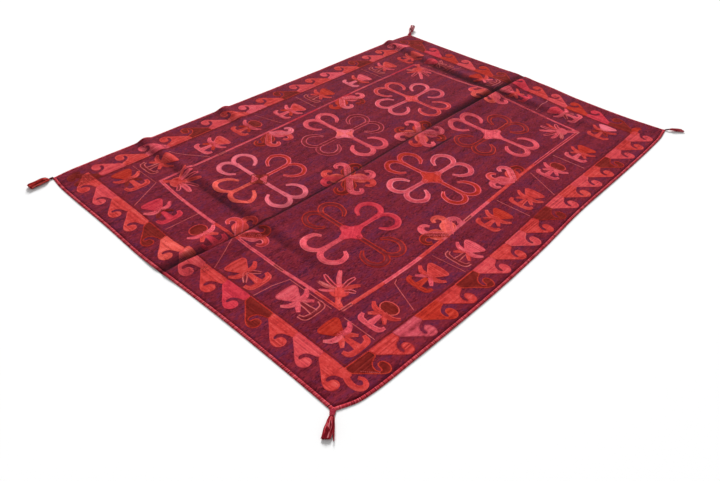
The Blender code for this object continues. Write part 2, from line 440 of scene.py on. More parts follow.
@dataclass
class ClothForm:
    """The shape of the lying cloth: its outline and its creases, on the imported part's place.

    The headings and phases of the ripples are in radians, as the first one's and the step to the
    next.
    """

    ripple_height: float = 0.0005
    ripple_lengths: tuple[float, ...] = (0.31, 0.23, 0.17)
    ripple_headings: Pair = (0.7, 1.1)
    ripple_phase: float = 2.3
    slope_step: float = 0.002
    edge_reach: float = 0.30
    edge_cover: float = 0.55
    bend_reach: float = 0.25
    bend_hold: float = 1.2
    bend_ease: float = 0.10
    # How far the painted shade in a fold reaches before a lip's foot, and how fast it fades up the rise.
    painted_shade_ease: float = 0.012
    painted_shade_power: float = 1.5
    centre: Vector = field(init=False)

    def __post_init__(self) -> None:
        """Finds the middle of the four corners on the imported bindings."""
        far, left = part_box("binding_far"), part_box("binding_left")
        self.centre = Vector(((far[0][0] + far[1][0]) / 2, (left[0][1] + left[1][1]) / 2, 0))

    def relief(self, plan: Points) -> Points:
        """Measures how high the underside stands over the floor.

        Args:
            plan: the plan points.

        Returns:
            The height at each.
        """
        tallest = np.zeros(len(plan))
        for lip in LIPS:
            share, distance = lip.across(plan)
            rising = np.sin(np.pi / 2 * distance / lip.rise) ** 2
            falling = np.cos(np.pi / 2 * (distance - lip.rise) / lip.fall) ** 2
            inside = (share >= 0) & (share <= 1) & (distance > 0) & (distance < lip.rise + lip.fall)
            profile = np.where(distance < lip.rise, rising, falling)
            height = np.maximum(read_table(lip.heights, share), 0) * profile
            tallest = np.maximum(tallest, np.where(inside, height, 0))
        ripple = np.zeros(len(plan))
        for turn, length in enumerate(self.ripple_lengths):
            heading = self.ripple_headings[0] + self.ripple_headings[1] * turn
            ripple += np.sin((plan[:, 0] * np.cos(heading) + plan[:, 1] * np.sin(heading))
                             * 2 * np.pi / length + self.ripple_phase * turn)
        return tallest + self.ripple_height * (ripple / len(self.ripple_lengths) + 1)

    def painted_crease_shade(self, plan: Points) -> Points:
        """Works out the painted shade in the folds: how strongly each point's colour is darkened, on a lip's
        rise and just before its foot.

        Args:
            plan: the plan points.

        Returns:
            The share of painted shade at each, from 0 to 1.
        """
        deepest = np.zeros(len(plan))
        for lip in LIPS:
            share, distance = lip.across(plan)
            before = 1 + distance / self.painted_shade_ease
            after = 1 - (np.maximum(distance, 0) / lip.rise) ** self.painted_shade_power
            depth = np.clip(np.where(distance < 0, before, after), 0, 1) * read_table(lip.painted_shade, share)
            deepest = np.maximum(deepest, np.where((share >= 0) & (share <= 1), depth, 0))
        return deepest

    def slopes(self, plan: Points) -> tuple[Points, Points]:
        """Measures the cloth's slopes.

        Args:
            plan: the plan points.

        Returns:
            The slope along x and the slope along y at each.
        """
        step = self.slope_step
        along = self.relief(plan + (step, 0)) - self.relief(plan - (step, 0))
        across = self.relief(plan + (0, step)) - self.relief(plan - (0, step))
        return along / (2 * step), across / (2 * step)

    def corner(self, name: str) -> Pair:
        """A corner of the rectangle, from its middle."""
        x = -RUG_LENGTH / 2 if "left" in name else RUG_LENGTH / 2
        return x, (RUG_WIDTH / 2 if "far" in name else -RUG_WIDTH / 2)

    def on_side(self, name: str, along: Points, inset: Points) -> Points:
        """Plan points measured from a side.

        Args:
            name: the side.
            along: distances from the corner that the running dog leaves, in metres.
            inset: distances inwards from the outline.

        Returns:
            The plan points.
        """
        side = SIDES[name]
        first, last = np.array(self.corner(side.first)), np.array(self.corner(side.last))
        share = np.asarray(along) / np.linalg.norm(last - first)
        share = 1 - share if side.travels_back else share
        outward = np.array(side.outward)
        edge = first + np.outer(share, last - first) + np.outer(read_table(side.bulge, share), outward)
        return edge - np.outer(inset, outward)

    def sheet_points(self, shares: Points) -> Points:
        """Plan points of the ground sheet: a rectangle with each side's bulge taken up near it.

        Args:
            shares: share from left to right and share from near to far, for each point.

        Returns:
            The plan points.
        """
        inset = BINDING_WIDTH * self.edge_cover
        half = np.array((RUG_LENGTH / 2 - inset, RUG_WIDTH / 2 - inset))
        points = (shares * 2 - 1) * half
        moved = points.copy()
        reach = (
            ("far", shares[:, 0], half[1] - points[:, 1]), ("near", shares[:, 0], points[:, 1] + half[1]),
            ("left", 1 - shares[:, 1], points[:, 0] + half[0]),
            ("right", 1 - shares[:, 1], half[0] - points[:, 0]),
        )
        for name, share, distance in reach:
            weight = np.clip(1 - distance / self.edge_reach, 0, 1) ** 2
            moved += np.outer(read_table(SIDES[name].bulge, share) * weight, SIDES[name].outward)
        fold = LIPS[0]
        weight = np.clip(self.bend_hold - np.abs(moved[:, 1] - fold.foot) / self.bend_reach, 0, 1)
        weight *= np.clip((RUG_LENGTH / 2 - np.abs(moved[:, 0])) / self.bend_ease, 0, 1)
        moved[:, 1] += read_table(fold.bend, (moved[:, 0] - fold.start) / (fold.end - fold.start)) * weight
        return moved

    def world(self, plan: Points, height: float) -> Points:
        """Plan points lifted onto the cloth and moved to the part's place."""
        lifted = np.column_stack((plan, self.relief(plan) + height))
        return lifted + np.array(self.centre)


FORM = ClothForm()


# ---------------------------------------------------------------- lines and outlines

TINY = 1e-9


def resample(points: Points, count: int) -> Points:
    """Points evenly spaced along a line.

    Args:
        points: the line.
        count: how many points to give.

    Returns:
        The points, the first and last ones included.
    """
    lengths = np.concatenate(([0], np.cumsum(np.linalg.norm(np.diff(points, axis=0), axis=1))))
    places = np.linspace(0, lengths[-1], count)
    return np.column_stack([np.interp(places, lengths, points[:, axis]) for axis in (0, 1)])


def length_of(points: Points) -> float:
    """How long a line is."""
    return float(np.linalg.norm(np.diff(points, axis=0), axis=1).sum())


def spaced(points: Iterable, spacing: float = 0.01) -> Points:
    """A line with a point about every spacing."""
    points = np.array(list(points), dtype=float)
    return resample(points, max(2, math.ceil(length_of(points) / spacing) + 1))


def curve(points: Iterable, spacing: float = 0.003, parts: int = 12) -> Points:
    """Draws a smooth line through a few points.

    Args:
        points: the points it goes through.
        spacing: how far apart its own points lie.
        parts: how many steps each stretch is worked out in.

    Returns:
        The line's points.
    """
    knots = np.array(list(points), dtype=float)
    padded = np.vstack((2 * knots[0] - knots[1], knots, 2 * knots[-1] - knots[-2]))
    part = np.linspace(0, 1, parts, endpoint=False)[:, None]
    pieces = []
    for before, start, end, after in zip(padded, padded[1:], padded[2:], padded[3:]):
        pieces.append(0.5 * (
            2 * start + (end - before) * part + (2 * before - 5 * start + 4 * end - after) * part ** 2
            + (3 * start - before - 3 * end + after) * part ** 3))
    return spaced(np.vstack(pieces + [knots[-1:]]), spacing)


def arc(centre: Pair, radii: Pair, start: float = 0, end: float = 345, step: float = 9) -> Points:
    """Points about every step on an ellipse, in degrees, and all round it if no ends are given."""
    angles = np.radians(np.linspace(start, end, max(4, int(abs(end - start) / step))))
    return np.array(centre) + np.column_stack((np.cos(angles), np.sin(angles))) * np.array(radii)


def rounded(outline: Iterable, reach: float = 0.006, share: float = 0.25) -> Points:
    """Cuts back the corners of a closed outline.

    Args:
        outline: the corners.
        reach: how far a cut goes along an edge at most.
        share: which share of an edge it takes at most.

    Returns:
        The rounded outline's corners.
    """
    points = np.array(list(outline), dtype=float)
    edge = np.roll(points, -1, axis=0) - points
    long = np.maximum(np.linalg.norm(edge, axis=1, keepdims=True), TINY)
    cut = edge * np.minimum(share, reach / long)
    return np.stack((points + cut, points + edge - cut), axis=1).reshape(-1, 2)


def widths_of(shape: Table, width: float) -> Table:
    """The widths along a line whose shape is given in shares of its width."""
    return tuple((share, width * part) for share, part in shape)


def across_of(points: Points) -> Points:
    """Finds the way to the left of a line.

    Args:
        points: the line.

    Returns:
        The unit direction at each of its points.
    """
    ahead = np.gradient(points, axis=0)
    ahead /= np.maximum(np.linalg.norm(ahead, axis=1, keepdims=True), TINY)
    return np.column_stack((-ahead[:, 1], ahead[:, 0]))


def plan_of(u: float, v: float) -> Pair:
    """A plan point from its distances along and across, measured from the far left corner."""
    return u - RUG_LENGTH / 2, RUG_WIDTH / 2 - v


def plan_course(course: Course) -> list[Pair]:
    """The plan points of a course that is measured from the far left corner."""
    return [plan_of(along, across) for along, across in course]


@dataclass(frozen=True)
class Placement:
    """Where a motif lies: its local x stretched, turned to the heading and moved to the place."""

    x: float
    y: float
    heading: float = 0.0
    scale: float = 1.0
    stretch: float = 1.0

    def __call__(self, points: Points) -> Points:
        """Puts a motif's points in place.

        Args:
            points: the local points.

        Returns:
            The plan points.
        """
        turn = math.radians(self.heading)
        x, y = points[:, 0] * self.scale * self.stretch, points[:, 1] * self.scale
        return np.column_stack((
            self.x + x * math.cos(turn) - y * math.sin(turn),
            self.y + x * math.sin(turn) + y * math.cos(turn)))


AS_DRAWN = Placement(0, 0)


# ---------------------------------------------------------------- needlework


@dataclass(frozen=True)
class Dress:
    """Which yarns a shape is worked in: its outline, the row inside it and the rest."""

    fill: Dye
    edge: Optional[Dye] = None
    second: Optional[Dye] = None

    def row(self, rank: int) -> Dye:
        """Picks the yarn of a row.

        Args:
            rank: the row's number, inwards from the outline.

        Returns:
            The yarn.
        """
        if rank == 0 and self.edge:
            return self.edge
        if rank == 1 and self.second:
            return self.second
        return self.fill


@dataclass
class Row:
    """One row of chain stitch: its line on the plan, its width along it and how it looks."""

    line: Points
    width: Points
    dye: Dye
    lift: float
    shade: float


def mesh_of(shape: bmesh.types.BMesh, name: str) -> bpy.types.Mesh:
    """Ends the modelling of a shape.

    Args:
        shape: what was modelled.
        name: the mesh's name.

    Returns:
        The new mesh.
    """
    mesh = bpy.data.meshes.new(name)
    shape.to_mesh(mesh)
    shape.free()
    return mesh


def planar_map(mesh: bpy.types.Mesh, places: Points, margin: float) -> None:
    """Gives a mesh its own map, seen from above.

    Args:
        mesh: the mesh.
        places: where its stitches lie.
        margin: how far the map reaches past them.
    """
    low = places.min(axis=0) - margin
    side = float((places.max(axis=0) - low).max()) + margin
    layer = mesh.uv_layers.new(name="OFBake")
    spots = np.empty(len(mesh.vertices) * 3)
    mesh.vertices.foreach_get("co", spots)
    corners = np.empty(len(mesh.loops), dtype=np.int32)
    mesh.loops.foreach_get("vertex_index", corners)
    flat = (spots.reshape(-1, 3)[corners, :2] - low[:2]) / side
    layer.data.foreach_set("uv", flat.ravel())


def in_scene(name: str, data: bpy.types.ID) -> bpy.types.Object:
    """Links some data to the scene as a new object.

    Args:
        name: the object's name.
        data: its mesh, curve, light or camera.

    Returns:
        The new object.
    """
    made = bpy.data.objects.new(name, data)
    bpy.context.scene.collection.objects.link(made)
    return made


def as_mesh(holder: bpy.types.Object, name: str) -> bpy.types.Mesh:
    """Ends an object, and keeps what its modifiers or its bevel make as a mesh.

    Args:
        holder: the object.
        name: the mesh's name.

    Returns:
        The new mesh.
    """
    mesh = bpy.data.meshes.new_from_object(holder.evaluated_get(bpy.context.evaluated_depsgraph_get()))
    mesh.name = name
    bpy.data.objects.remove(holder, do_unlink=True)
    return mesh


def add_piece(name: str, mesh: bpy.types.Mesh) -> bpy.types.Object:
    """Links a mesh as a finished piece that rides with the rug.

    Args:
        name: the piece's name.
        mesh: its mesh, in world coordinates.

    Returns:
        The new object.
    """
    piece = in_scene(name, mesh)
    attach(piece, "root")
    triangles = sum(len(face.vertices) - 2 for face in mesh.polygons)
    LOG.info("%s: %d triangles", name, triangles)
    return piece


class StitchLayer:
    """Lays copies of one small stitch on many points and makes them one mesh."""

    def __init__(self, stitch: bpy.types.Object, finishes: Sequence[bpy.types.Material]) -> None:
        """Keeps the stitch and builds the node tree that copies it.

        Args:
            stitch: an object holding one stitch, 1 m long, wide and high.
            finishes: the materials, in slot order.
        """
        self.stitch = stitch
        for material in finishes:
            stitch.data.materials.append(material)
        self.tree = self.copying_tree()

    def copying_tree(self) -> bpy.types.NodeTree:
        """The tree: a copy on each point, turned, sized and dressed by the point's attributes.

        Returns:
            The Geometry Nodes tree.
        """
        tree = bpy.data.node_groups.new("lay_stitches", "GeometryNodeTree")
        tree.interface.new_socket("Points", in_out="INPUT", socket_type="NodeSocketGeometry")
        tree.interface.new_socket("Stitches", in_out="OUTPUT", socket_type="NodeSocketGeometry")
        enter, leave = tree.nodes.new("NodeGroupInput"), tree.nodes.new("NodeGroupOutput")
        shape = tree.nodes.new("GeometryNodeObjectInfo")
        shape.inputs["Object"].default_value = self.stitch
        copies = tree.nodes.new("GeometryNodeInstanceOnPoints")
        real = tree.nodes.new("GeometryNodeRealizeInstances")
        dress = tree.nodes.new("GeometryNodeSetMaterialIndex")

        for source, target in (
                (enter.outputs[0], copies.inputs["Points"]),
                (shape.outputs["Geometry"], copies.inputs["Instance"]),
                (copies.outputs["Instances"], real.inputs["Geometry"]),
                (real.outputs["Geometry"], dress.inputs["Geometry"]),
                (dress.outputs["Geometry"], leave.inputs[0])):
            tree.links.new(source, target)
        for name, kind, target in (
                ("turn", "FLOAT_VECTOR", copies.inputs["Rotation"]),
                ("size", "FLOAT_VECTOR", copies.inputs["Scale"]),
                ("yarn", "INT", dress.inputs["Material Index"])):
            reader = tree.nodes.new("GeometryNodeInputNamedAttribute")
            reader.data_type = kind
            reader.inputs["Name"].default_value = name
            tree.links.new(reader.outputs["Attribute"], target)
        return tree

    def lay(self, name: str, spots: Points, turns: Points, sizes: Points, shades: Points, yarns: Points,
            creases: Points) -> bpy.types.Mesh:
        """Copies the stitch on every spot.

        Args:
            name: the new mesh's name.
            spots: where each stitch's middle lies.
            turns: its rotation about x, y and z.
            sizes: its length, width and height.
            shades: its tone, from 0 to 1.
            yarns: its material slot.
            creases: how much painted shade of a fold it takes, from 0 to 1.

        Returns:
            The joined mesh.
        """
        seed = bpy.data.meshes.new(name + "_points")
        seed.vertices.add(len(spots))
        seed.vertices.foreach_set("co", spots.ravel())
        for key, kind, values, prop in (
                ("turn", "FLOAT_VECTOR", turns, "vector"), ("size", "FLOAT_VECTOR", sizes, "vector"),
                ("shade", "FLOAT", shades, "value"), ("painted_crease_shade", "FLOAT", creases, "value"),
                ("yarn", "INT", yarns, "value")):
            layer = seed.attributes.new(key, kind, "POINT")
            layer.data.foreach_set(prop, np.ascontiguousarray(values).ravel())
        holder = in_scene(name + "_points", seed)
        holder.modifiers.new("copies", "NODES").node_group = self.tree
        mesh = as_mesh(holder, name)
        bpy.data.meshes.remove(seed)
        for key in ("turn", "size", "yarn"):
            if key in mesh.attributes:
                mesh.attributes.remove(mesh.attributes[key])
        return mesh


@dataclass(frozen=True)
class ChainStitch:
    """One link of chain stitch, 1 m long, wide and high: a thin bed and two strands.

    The strands are plump, and part like a leaf. The splay is the angle that each is turned by.
    """

    bed_length: float = 1.02
    bed_height: float = 0.22
    strand_sides: int = 6
    strand_size: Triple = (1.22, 0.58, 1.0)
    crown: Triple = (0.10, 0, 0.85)
    splay: float = 0.14
    strand_aside: float = 0.245
    strand_height: float = 0.15

    def build(self) -> bpy.types.Object:
        """Models the link.

        Returns:
            The object that is copied for every stitch.
        """
        shape = bmesh.new()
        bed = bmesh.ops.create_grid(shape, x_segments=1, y_segments=1, size=0.5)["verts"]
        bmesh.ops.scale(shape, verts=bed, vec=(self.bed_length, 1.0, 1.0))
        bmesh.ops.translate(shape, verts=bed, vec=(0, 0, self.bed_height))
        for side in (-1, 1):
            strand = bmesh.ops.create_circle(
                shape, cap_ends=True, segments=self.strand_sides, radius=0.5)["verts"]
            top = bmesh.ops.poke(shape, faces=[strand[0].link_faces[0]])["verts"]
            bmesh.ops.translate(shape, verts=top, vec=self.crown)
            strand += top
            bmesh.ops.scale(shape, verts=strand, vec=self.strand_size)
            turn = Matrix.Rotation(side * self.splay, 3, "Z")
            bmesh.ops.rotate(shape, verts=strand, cent=(0, 0, 0), matrix=turn)
            bmesh.ops.translate(shape, verts=strand, vec=(0, side * self.strand_aside, self.strand_height))
        shape.normal_update()
        for face in shape.faces:
            face.smooth = True
            if face.normal.z < 0:
                face.normal_flip()
        return bpy.data.objects.new("chain_stitch", mesh_of(shape, "chain_stitch"))


@dataclass
class Needlework:
    """Shapes worked in rows of chain stitch, gathered until a piece is made of them.

    The shade is the middle and the spread of a row's tone, and the strays are the unevenness of
    the hand, stitch by stitch.
    """

    layer: StitchLayer
    seed: int = 1
    row_shade: Pair = (0.5, 0.07)
    shade_limits: Pair = (0.1, 0.9)
    shade_stray: float = 0.04
    place_stray: float = 0.00012
    turn_stray: float = 0.05
    size_means: Triple = (1.0, 1.02, 1.0)
    size_strays: Triple = (0.04, 0.04, 0.12)
    sink: float = 0.0002
    stroke_spacing: float = 0.0025
    shortest_line: float = STITCH_LENGTH * 0.4
    shortest_inner: float = STITCH_LENGTH * 0.6
    shortest_run: int = 3
    inner_reach: float = 0.9
    map_margin: float = 0.01
    rows: list[Row] = field(default_factory=list)

    def __post_init__(self) -> None:
        """Starts the unevenness of the hand."""
        self.chance = np.random.default_rng(self.seed)

    def row(self, line: Points, dye: Dye, width: Points, lift: float = 0.0) -> None:
        """Adds one row, unless it is too short to work.

        Args:
            line: its points on the plan.
            dye: its yarn.
            width: its width, or its widths at the points.
            lift: height over the cloth.
        """
        if length_of(line) > self.shortest_line:
            shade = float(np.clip(self.chance.normal(*self.row_shade), *self.shade_limits))
            self.rows.append(Row(line, np.broadcast_to(width, len(line)), dye, lift, shade))

    def thread(self, path: Iterable, dye: Dye, place: Placer, width: float = 0.0032) -> None:
        """Works a thin line of one row."""
        self.row(place(spaced(path, POINT_SPACING)), dye, np.array(width))

    def stroke(self, path: Points, widths: Table, dress: Dress, place: Placer, lift: float = 0.0) -> None:
        """Works a band of rows that follow a line.

        Args:
            path: the line's local points.
            widths: rows of share along the line and full width.
            dress: its yarns.
            place: puts local points on the plan.
            lift: height over the cloth.
        """
        line = spaced(place(path), self.stroke_spacing)
        shares, values = np.array(widths).T
        scale = length_of(line) / length_of(path)
        half = np.interp(np.linspace(0, 1, len(line)), shares, values) * scale / 2
        across = across_of(line)
        count = np.maximum(1, np.rint(2 * half / ROW_WIDTH))
        width = 2 * half / count
        for rank in range(int(count.max() + 1) // 2):
            for side in (1, -1):
                there = count > (2 * rank if side > 0 else 2 * rank + 1)
                offset = side * (half - (rank + 0.5) * width)
                for run in self.runs(there):
                    self.row(line[run] + across[run] * offset[run, None], dress.row(rank), width[run], lift)

    def runs(self, there: Points) -> list[slice]:
        """The stretches in which a row is there."""
        edges = np.flatnonzero(np.diff(np.concatenate(([0], there.astype(int), [0]))))
        return [slice(a, b) for a, b in zip(edges[::2], edges[1::2]) if b - a >= self.shortest_run]

    def patch(self, outline: Iterable, dress: Dress, place: Placer, angle: float, lift: float = 0.0) -> None:
        """Works a closed shape: rows round its outline, and straight rows inside.

        Args:
            outline: the shape's local corners.
            dress: its yarns.
            place: puts local points on the plan.
            angle: direction of the inner rows on the plan, in degrees.
            lift: height over the cloth.
        """
        corners = rounded(outline)
        loop = place(spaced(np.vstack((corners, corners[:1])), POINT_SPACING))
        x, y = loop[:, 0], loop[:, 1]
        inward = np.sign((x[:-1] * y[1:] - x[1:] * y[:-1]).sum())
        around = 2 if dress.second else 1
        for rank in range(around):
            inner = loop + across_of(loop) * inward * ROW_WIDTH * (rank + 0.5)
            self.row(inner, dress.row(rank), np.array(ROW_WIDTH), lift)
        self.fill(loop, dress.row(around), math.radians(angle), ROW_WIDTH * around, lift)

    def fill(self, loop: Points, dye: Dye, turn: float, margin: float, lift: float) -> None:
        """Fills a closed line with straight rows.

        Args:
            loop: its points on the plan, the first one once more at the end.
            dye: the rows' yarn.
            turn: their direction, in radians.
            margin: how far they stay inside the line.
            lift: height over the cloth.
        """
        ahead = np.array((math.cos(turn), math.sin(turn)))
        side = np.array((-ahead[1], ahead[0]))
        along, level = loop @ ahead, loop @ side
        low, high = level.min() + margin, level.max() - margin
        count = max(int((high - low) / ROW_WIDTH), 0)
        for number in range(count):
            pitch = (high - low) / count
            height = low + pitch * (number + 0.5)
            crossed = (level[:-1] - height) * (level[1:] - height) < 0
            part = (height - level[:-1][crossed]) / (level[1:][crossed] - level[:-1][crossed])
            crossings = np.sort(along[:-1][crossed] + part * (along[1:][crossed] - along[:-1][crossed]))
            for start, end in zip(crossings[::2], crossings[1::2]):
                if end - start > 2 * margin + self.shortest_inner:
                    inset = margin * self.inner_reach
                    line = np.outer(np.array((start + inset, end - inset)), ahead) + side * height
                    self.row(spaced(line, POINT_SPACING), dye, np.array(pitch), lift)

    def stitches(self) -> tuple[Points, ...]:
        """Parts the gathered rows into stitches.

        Returns:
            Each stitch's place on the plan, its heading, its length, width and height, its tone, its
            yarn's slot and its lift.
        """
        order, parts = list(Dye), []
        for row in self.rows:
            count = max(1, round(length_of(row.line) / STITCH_LENGTH))
            ends = resample(row.line, count + 1)
            step = np.diff(ends, axis=0)
            wide = np.interp(np.arange(count) + 0.5, np.linspace(0, count, len(row.line)), row.width)
            size = np.column_stack((np.linalg.norm(step, axis=1), wide, np.full(count, STITCH_HEIGHT)))
            parts.append((
                (ends[1:] + ends[:-1]) / 2, np.arctan2(step[:, 1], step[:, 0]), size,
                np.full(count, row.shade), np.full(count, order.index(row.dye), np.int32),
                np.full(count, row.lift)))
        return tuple(np.concatenate(column) for column in zip(*parts))

    def finish(self, name: str) -> bpy.types.Object:
        """Makes the stitches a piece, with the strays of the hand.

        Args:
            name: the piece's name.

        Returns:
            The finished piece.
        """
        plan, heading, size, shade, slots, lift = self.stitches()
        amount, stray = len(plan), self.chance.normal
        plan = plan + stray(0, self.place_stray, (amount, 2))
        heading = heading + stray(0, self.turn_stray, amount)
        size = size * stray(self.size_means, self.size_strays, (amount, 3))
        shade = np.clip(shade + stray(0, self.shade_stray, amount), 0, 1)
        along, across = FORM.slopes(plan)
        ahead = along * np.cos(heading) + across * np.sin(heading)
        aside = across * np.cos(heading) - along * np.sin(heading)
        turns = np.column_stack((np.arctan(aside * np.cos(np.arctan(ahead))), -np.arctan(ahead), heading))
        world = FORM.world(plan, SHEET_LIFT + SHEET_THICKNESS - self.sink)
        world[:, 2] += lift
        # Each stitch takes the painted shade of the fold it lies in.
        mesh = self.layer.lay(name, world, turns, size, shade, slots, FORM.painted_crease_shade(plan))
        planar_map(mesh, world, self.map_margin)
        return add_piece(name, mesh)


# ---------------------------------------------------------------- motifs


class Motif(Protocol):
    """Anything that is worked as one piece of embroidery."""

    def work(self, cloth: Needlework) -> None:
        """Works it on the cloth."""


@dataclass(frozen=True)
class Arm:
    """One arm of a medallion: how it is worked, how far it reaches and how wide it spreads."""

    dress: Dress
    reach: float = 0.224
    spread: float = 0.101
    tip_out: float = 0.122
    tip_side: float = 0.050


@dataclass
class Medallion:
    """Four stems from a diamond, each splitting into two horns that curl back inwards.

    The quarters are two triangles of another yarn on the diamond.
    """

    centre: Pair
    arms: tuple[Arm, Arm, Arm, Arm]
    middle: Dress
    middle_half: Pair = (0.058, 0.058)
    quarters: Optional[Dress] = None
    stem_width: float = 0.023
    stem_shape: Table = ((0, 1), (0.7, 0.92), (1, 1.2))
    horn_width: float = 0.0265
    horn_shape: Table = ((0, 0.75), (0.25, 1), (0.6, 1), (0.85, 0.8))
    tip_width: float = 0.013
    stem_start: float = 0.030
    stem_overlap: float = 0.008
    horn_rise: float = 0.054
    horn_angles: Pair = (-92, 96)
    horn_turning: Pair = (-0.003, 0.008)
    point_half: float = 0.010
    waist: float = 0.44
    quarter_reach: float = 0.95
    row_angles: Pair = (35, 45)
    turn_stray: float = 1.2
    size_stray: float = 0.03

    def work(self, cloth: Needlework) -> None:
        """Works the arms, which point right, far, left and near, and then the diamond.

        Args:
            cloth: takes the rows.
        """
        for number, arm in enumerate(self.arms):
            turn = 90 * number + float(cloth.chance.normal(0, self.turn_stray))
            self.work_arm(cloth, arm, Placement(*self.centre, turn))
        place, (half_x, half_y) = Placement(*self.centre), self.middle_half
        star = []
        for x, y in ((1, 0), (0, 1), (-1, 0), (0, -1)):
            side = np.array((-y, x))
            tip = np.array((half_x * x, half_y * y))
            star += [tip - self.point_half * side, tip + self.point_half * side,
                     ((x + side[0]) * half_x * self.waist, (y + side[1]) * half_y * self.waist)]
        cloth.patch(star, self.middle, place, self.row_angles[0], LIFT_STEP)
        if self.quarters:
            for flip in (1, -1):
                reach = self.quarter_reach * flip
                corners = ((0, 0), (-half_x * reach, 0), (0, half_y * reach))
                cloth.patch(corners, self.quarters, place, self.row_angles[1], 2 * LIFT_STEP)

    def work_arm(self, cloth: Needlework, arm: Arm, place: Placement) -> None:
        """Works one stem and its pair of horns, outwards along local x.

        Args:
            cloth: takes the rows.
            arm: the arm.
            place: where it starts and which way it points.
        """
        horn = self.horn_width
        middle = arm.reach - horn / 2 - self.horn_rise
        bow_half = (arm.spread - horn / 2) / 2
        stem = spaced(((self.stem_start, 0), (middle + self.stem_overlap, 0)))
        cloth.stroke(stem, widths_of(self.stem_shape, self.stem_width), arm.dress, place)
        widths = (*widths_of(self.horn_shape, horn), (1, self.tip_width))
        for flip in (1, -1):
            size = float(cloth.chance.normal(1.0, self.size_stray))
            bow = arc((middle, bow_half), (self.horn_rise * size, bow_half * size), *self.horn_angles)
            end = np.array((arm.reach - arm.tip_out, arm.tip_side))
            line = curve(np.vstack((bow[::3], (bow[-1] + end) / 2 + self.horn_turning, end)))
            cloth.stroke(line * (1, flip), widths, arm.dress, place, LIFT_STEP)


@dataclass(frozen=True)
class Quadrant:
    """A quarter of a cross: its lobe, its curl beside the one arm and its curl beside the next."""

    turn: int
    lobe: Dress
    first: Dress
    second: Dress


LOBE = ((-0.004, -0.004), (0.034, -0.002), (0.064, 0.012), (0.074, 0.036), (0.068, 0.060),
        (0.060, 0.068), (0.036, 0.074), (0.012, 0.064), (-0.002, 0.034))
CURL = ((0.004, 0.000), (0.046, 0.040), (0.072, 0.061), (0.094, 0.060), (0.108, 0.046), (0.106, 0.027),
        (0.088, 0.016))


@dataclass
class Cross:
    """Curling lobes round a middle; a half cross has only the two on the field's side."""

    centre: Pair
    quadrants: tuple[Quadrant, ...]
    curl_widths: Table = ((0, 0.028), (0.35, 0.032), (0.7, 0.028), (1, 0.016))
    size_stray: float = 0.03

    def work(self, cloth: Needlework) -> None:
        """Works the lobes, and then their curls.

        Args:
            cloth: takes the rows.
        """
        places = [Placement(*self.centre, 90 * quadrant.turn) for quadrant in self.quadrants]
        for quadrant, place in zip(self.quadrants, places):
            cloth.patch(LOBE, quadrant.lobe, place, place.heading + 45)
        for quadrant, place in zip(self.quadrants, places):
            first, second = cloth.chance.normal(1.0, self.size_stray, 2)
            knots = np.array(CURL)
            curls = ((knots * first, quadrant.first), (knots[:, ::-1] * second, quadrant.second))
            for step, (curl, dress) in enumerate(curls, 1):
                cloth.stroke(curve(curl), self.curl_widths, dress, place, step * LIFT_STEP)


class Head(Enum):
    """The two kinds of head that a border figure has, as their outlines in local places."""

    TULIP = ((0.088, 0.011), (0.118, 0.031), (0.142, 0.047), (0.154, 0.048), (0.163, 0.040),
             (0.167, 0.000), (0.163, -0.040), (0.154, -0.048), (0.142, -0.047), (0.118, -0.031),
             (0.088, -0.011))
    ROUND = tuple(map(tuple, arc((0.127, 0), (0.035, 0.039))))


ROOT = ((0.036, 0.050), (0.013, 0.043), (0.006, 0.018), (0.006, -0.018), (0.013, -0.043), (0.036, -0.050))
PETAL = ((0.090, 0.003), (0.072, 0.018), (0.048, 0.038))
LIMB = ((0.094, 0.0), (0.087, 0.022), (0.094, 0.044), (0.113, 0.062))


@dataclass
class Figure:
    """A border figure, from its root at local x = 0 to its head, along local x."""

    head: Dress
    arms: Dress
    petals: Dress
    root: Dress
    kind: Head = Head.TULIP
    root_width: float = 0.024
    root_shape: Table = ((0.22, 1), (0.5, 0.85), (0.78, 1))
    root_tip: float = 0.014
    stem_ends: Pair = (0.008, 0.074)
    stem_widths: Table = ((0, 0.034), (0.5, 0.024), (1, 0.020))
    petal_widths: Table = ((0, 0.016), (0.5, 0.021), (1, 0.013))
    limb_widths: Table = ((0, 0.021), (0.45, 0.024), (1, 0.012))

    def work(self, cloth: Needlework, place: Placement) -> None:
        """Works root, stem, petals, arms and head.

        Args:
            cloth: takes the rows.
            place: where its root lies and which way it points.
        """
        widths = ((0, self.root_tip), *widths_of(self.root_shape, self.root_width), (1, self.root_tip))
        cloth.stroke(curve(ROOT), widths, self.root, place)
        cloth.stroke(spaced([(end, 0) for end in self.stem_ends]), self.stem_widths, self.root, place)
        for flip in (1, -1):
            cloth.stroke(curve(PETAL) * (1, flip), self.petal_widths, self.petals, place)
            cloth.stroke(curve(LIMB) * (1, flip), self.limb_widths, self.arms, place, LIFT_STEP)
        cloth.patch(self.kind.value, self.head, place, place.heading + 90, LIFT_STEP)


@dataclass(frozen=True)
class Border:
    """The figures along one side, which share a heading and a stretch.

    Each row says how far along and across the rug a figure's root lies, and how it is worked.
    """

    heading: float
    stretch: float
    figures: tuple[tuple[float, float, Figure], ...]

    def work(self, cloth: Needlework) -> None:
        """Works every figure."""
        for along, across, figure in self.figures:
            figure.work(cloth, Placement(*plan_of(along, across), self.heading, stretch=self.stretch))


@dataclass(frozen=True)
class Finger:
    """One finger of a palmette: its direction from the heading, its reach and how it is worked.

    It starts a little away from the palm's middle, and bends at a share of its reach.
    """

    turn: float
    reach: float
    dress: Dress
    width: float = 0.020
    start: float = 0.018
    bend: float = 0.004
    bend_at: float = 0.6

    def line(self, middle: float) -> Points:
        """Draws the finger.

        Args:
            middle: how far out the palm's middle lies.

        Returns:
            Its local points.
        """
        turn, palm = math.radians(self.turn), np.array((middle, 0.0))
        ahead = np.array((math.cos(turn), math.sin(turn)))
        knuckle = ahead * self.reach * self.bend_at + np.array((-ahead[1], ahead[0])) * self.bend
        return curve((palm + ahead * self.start, palm + knuckle, palm + ahead * self.reach))


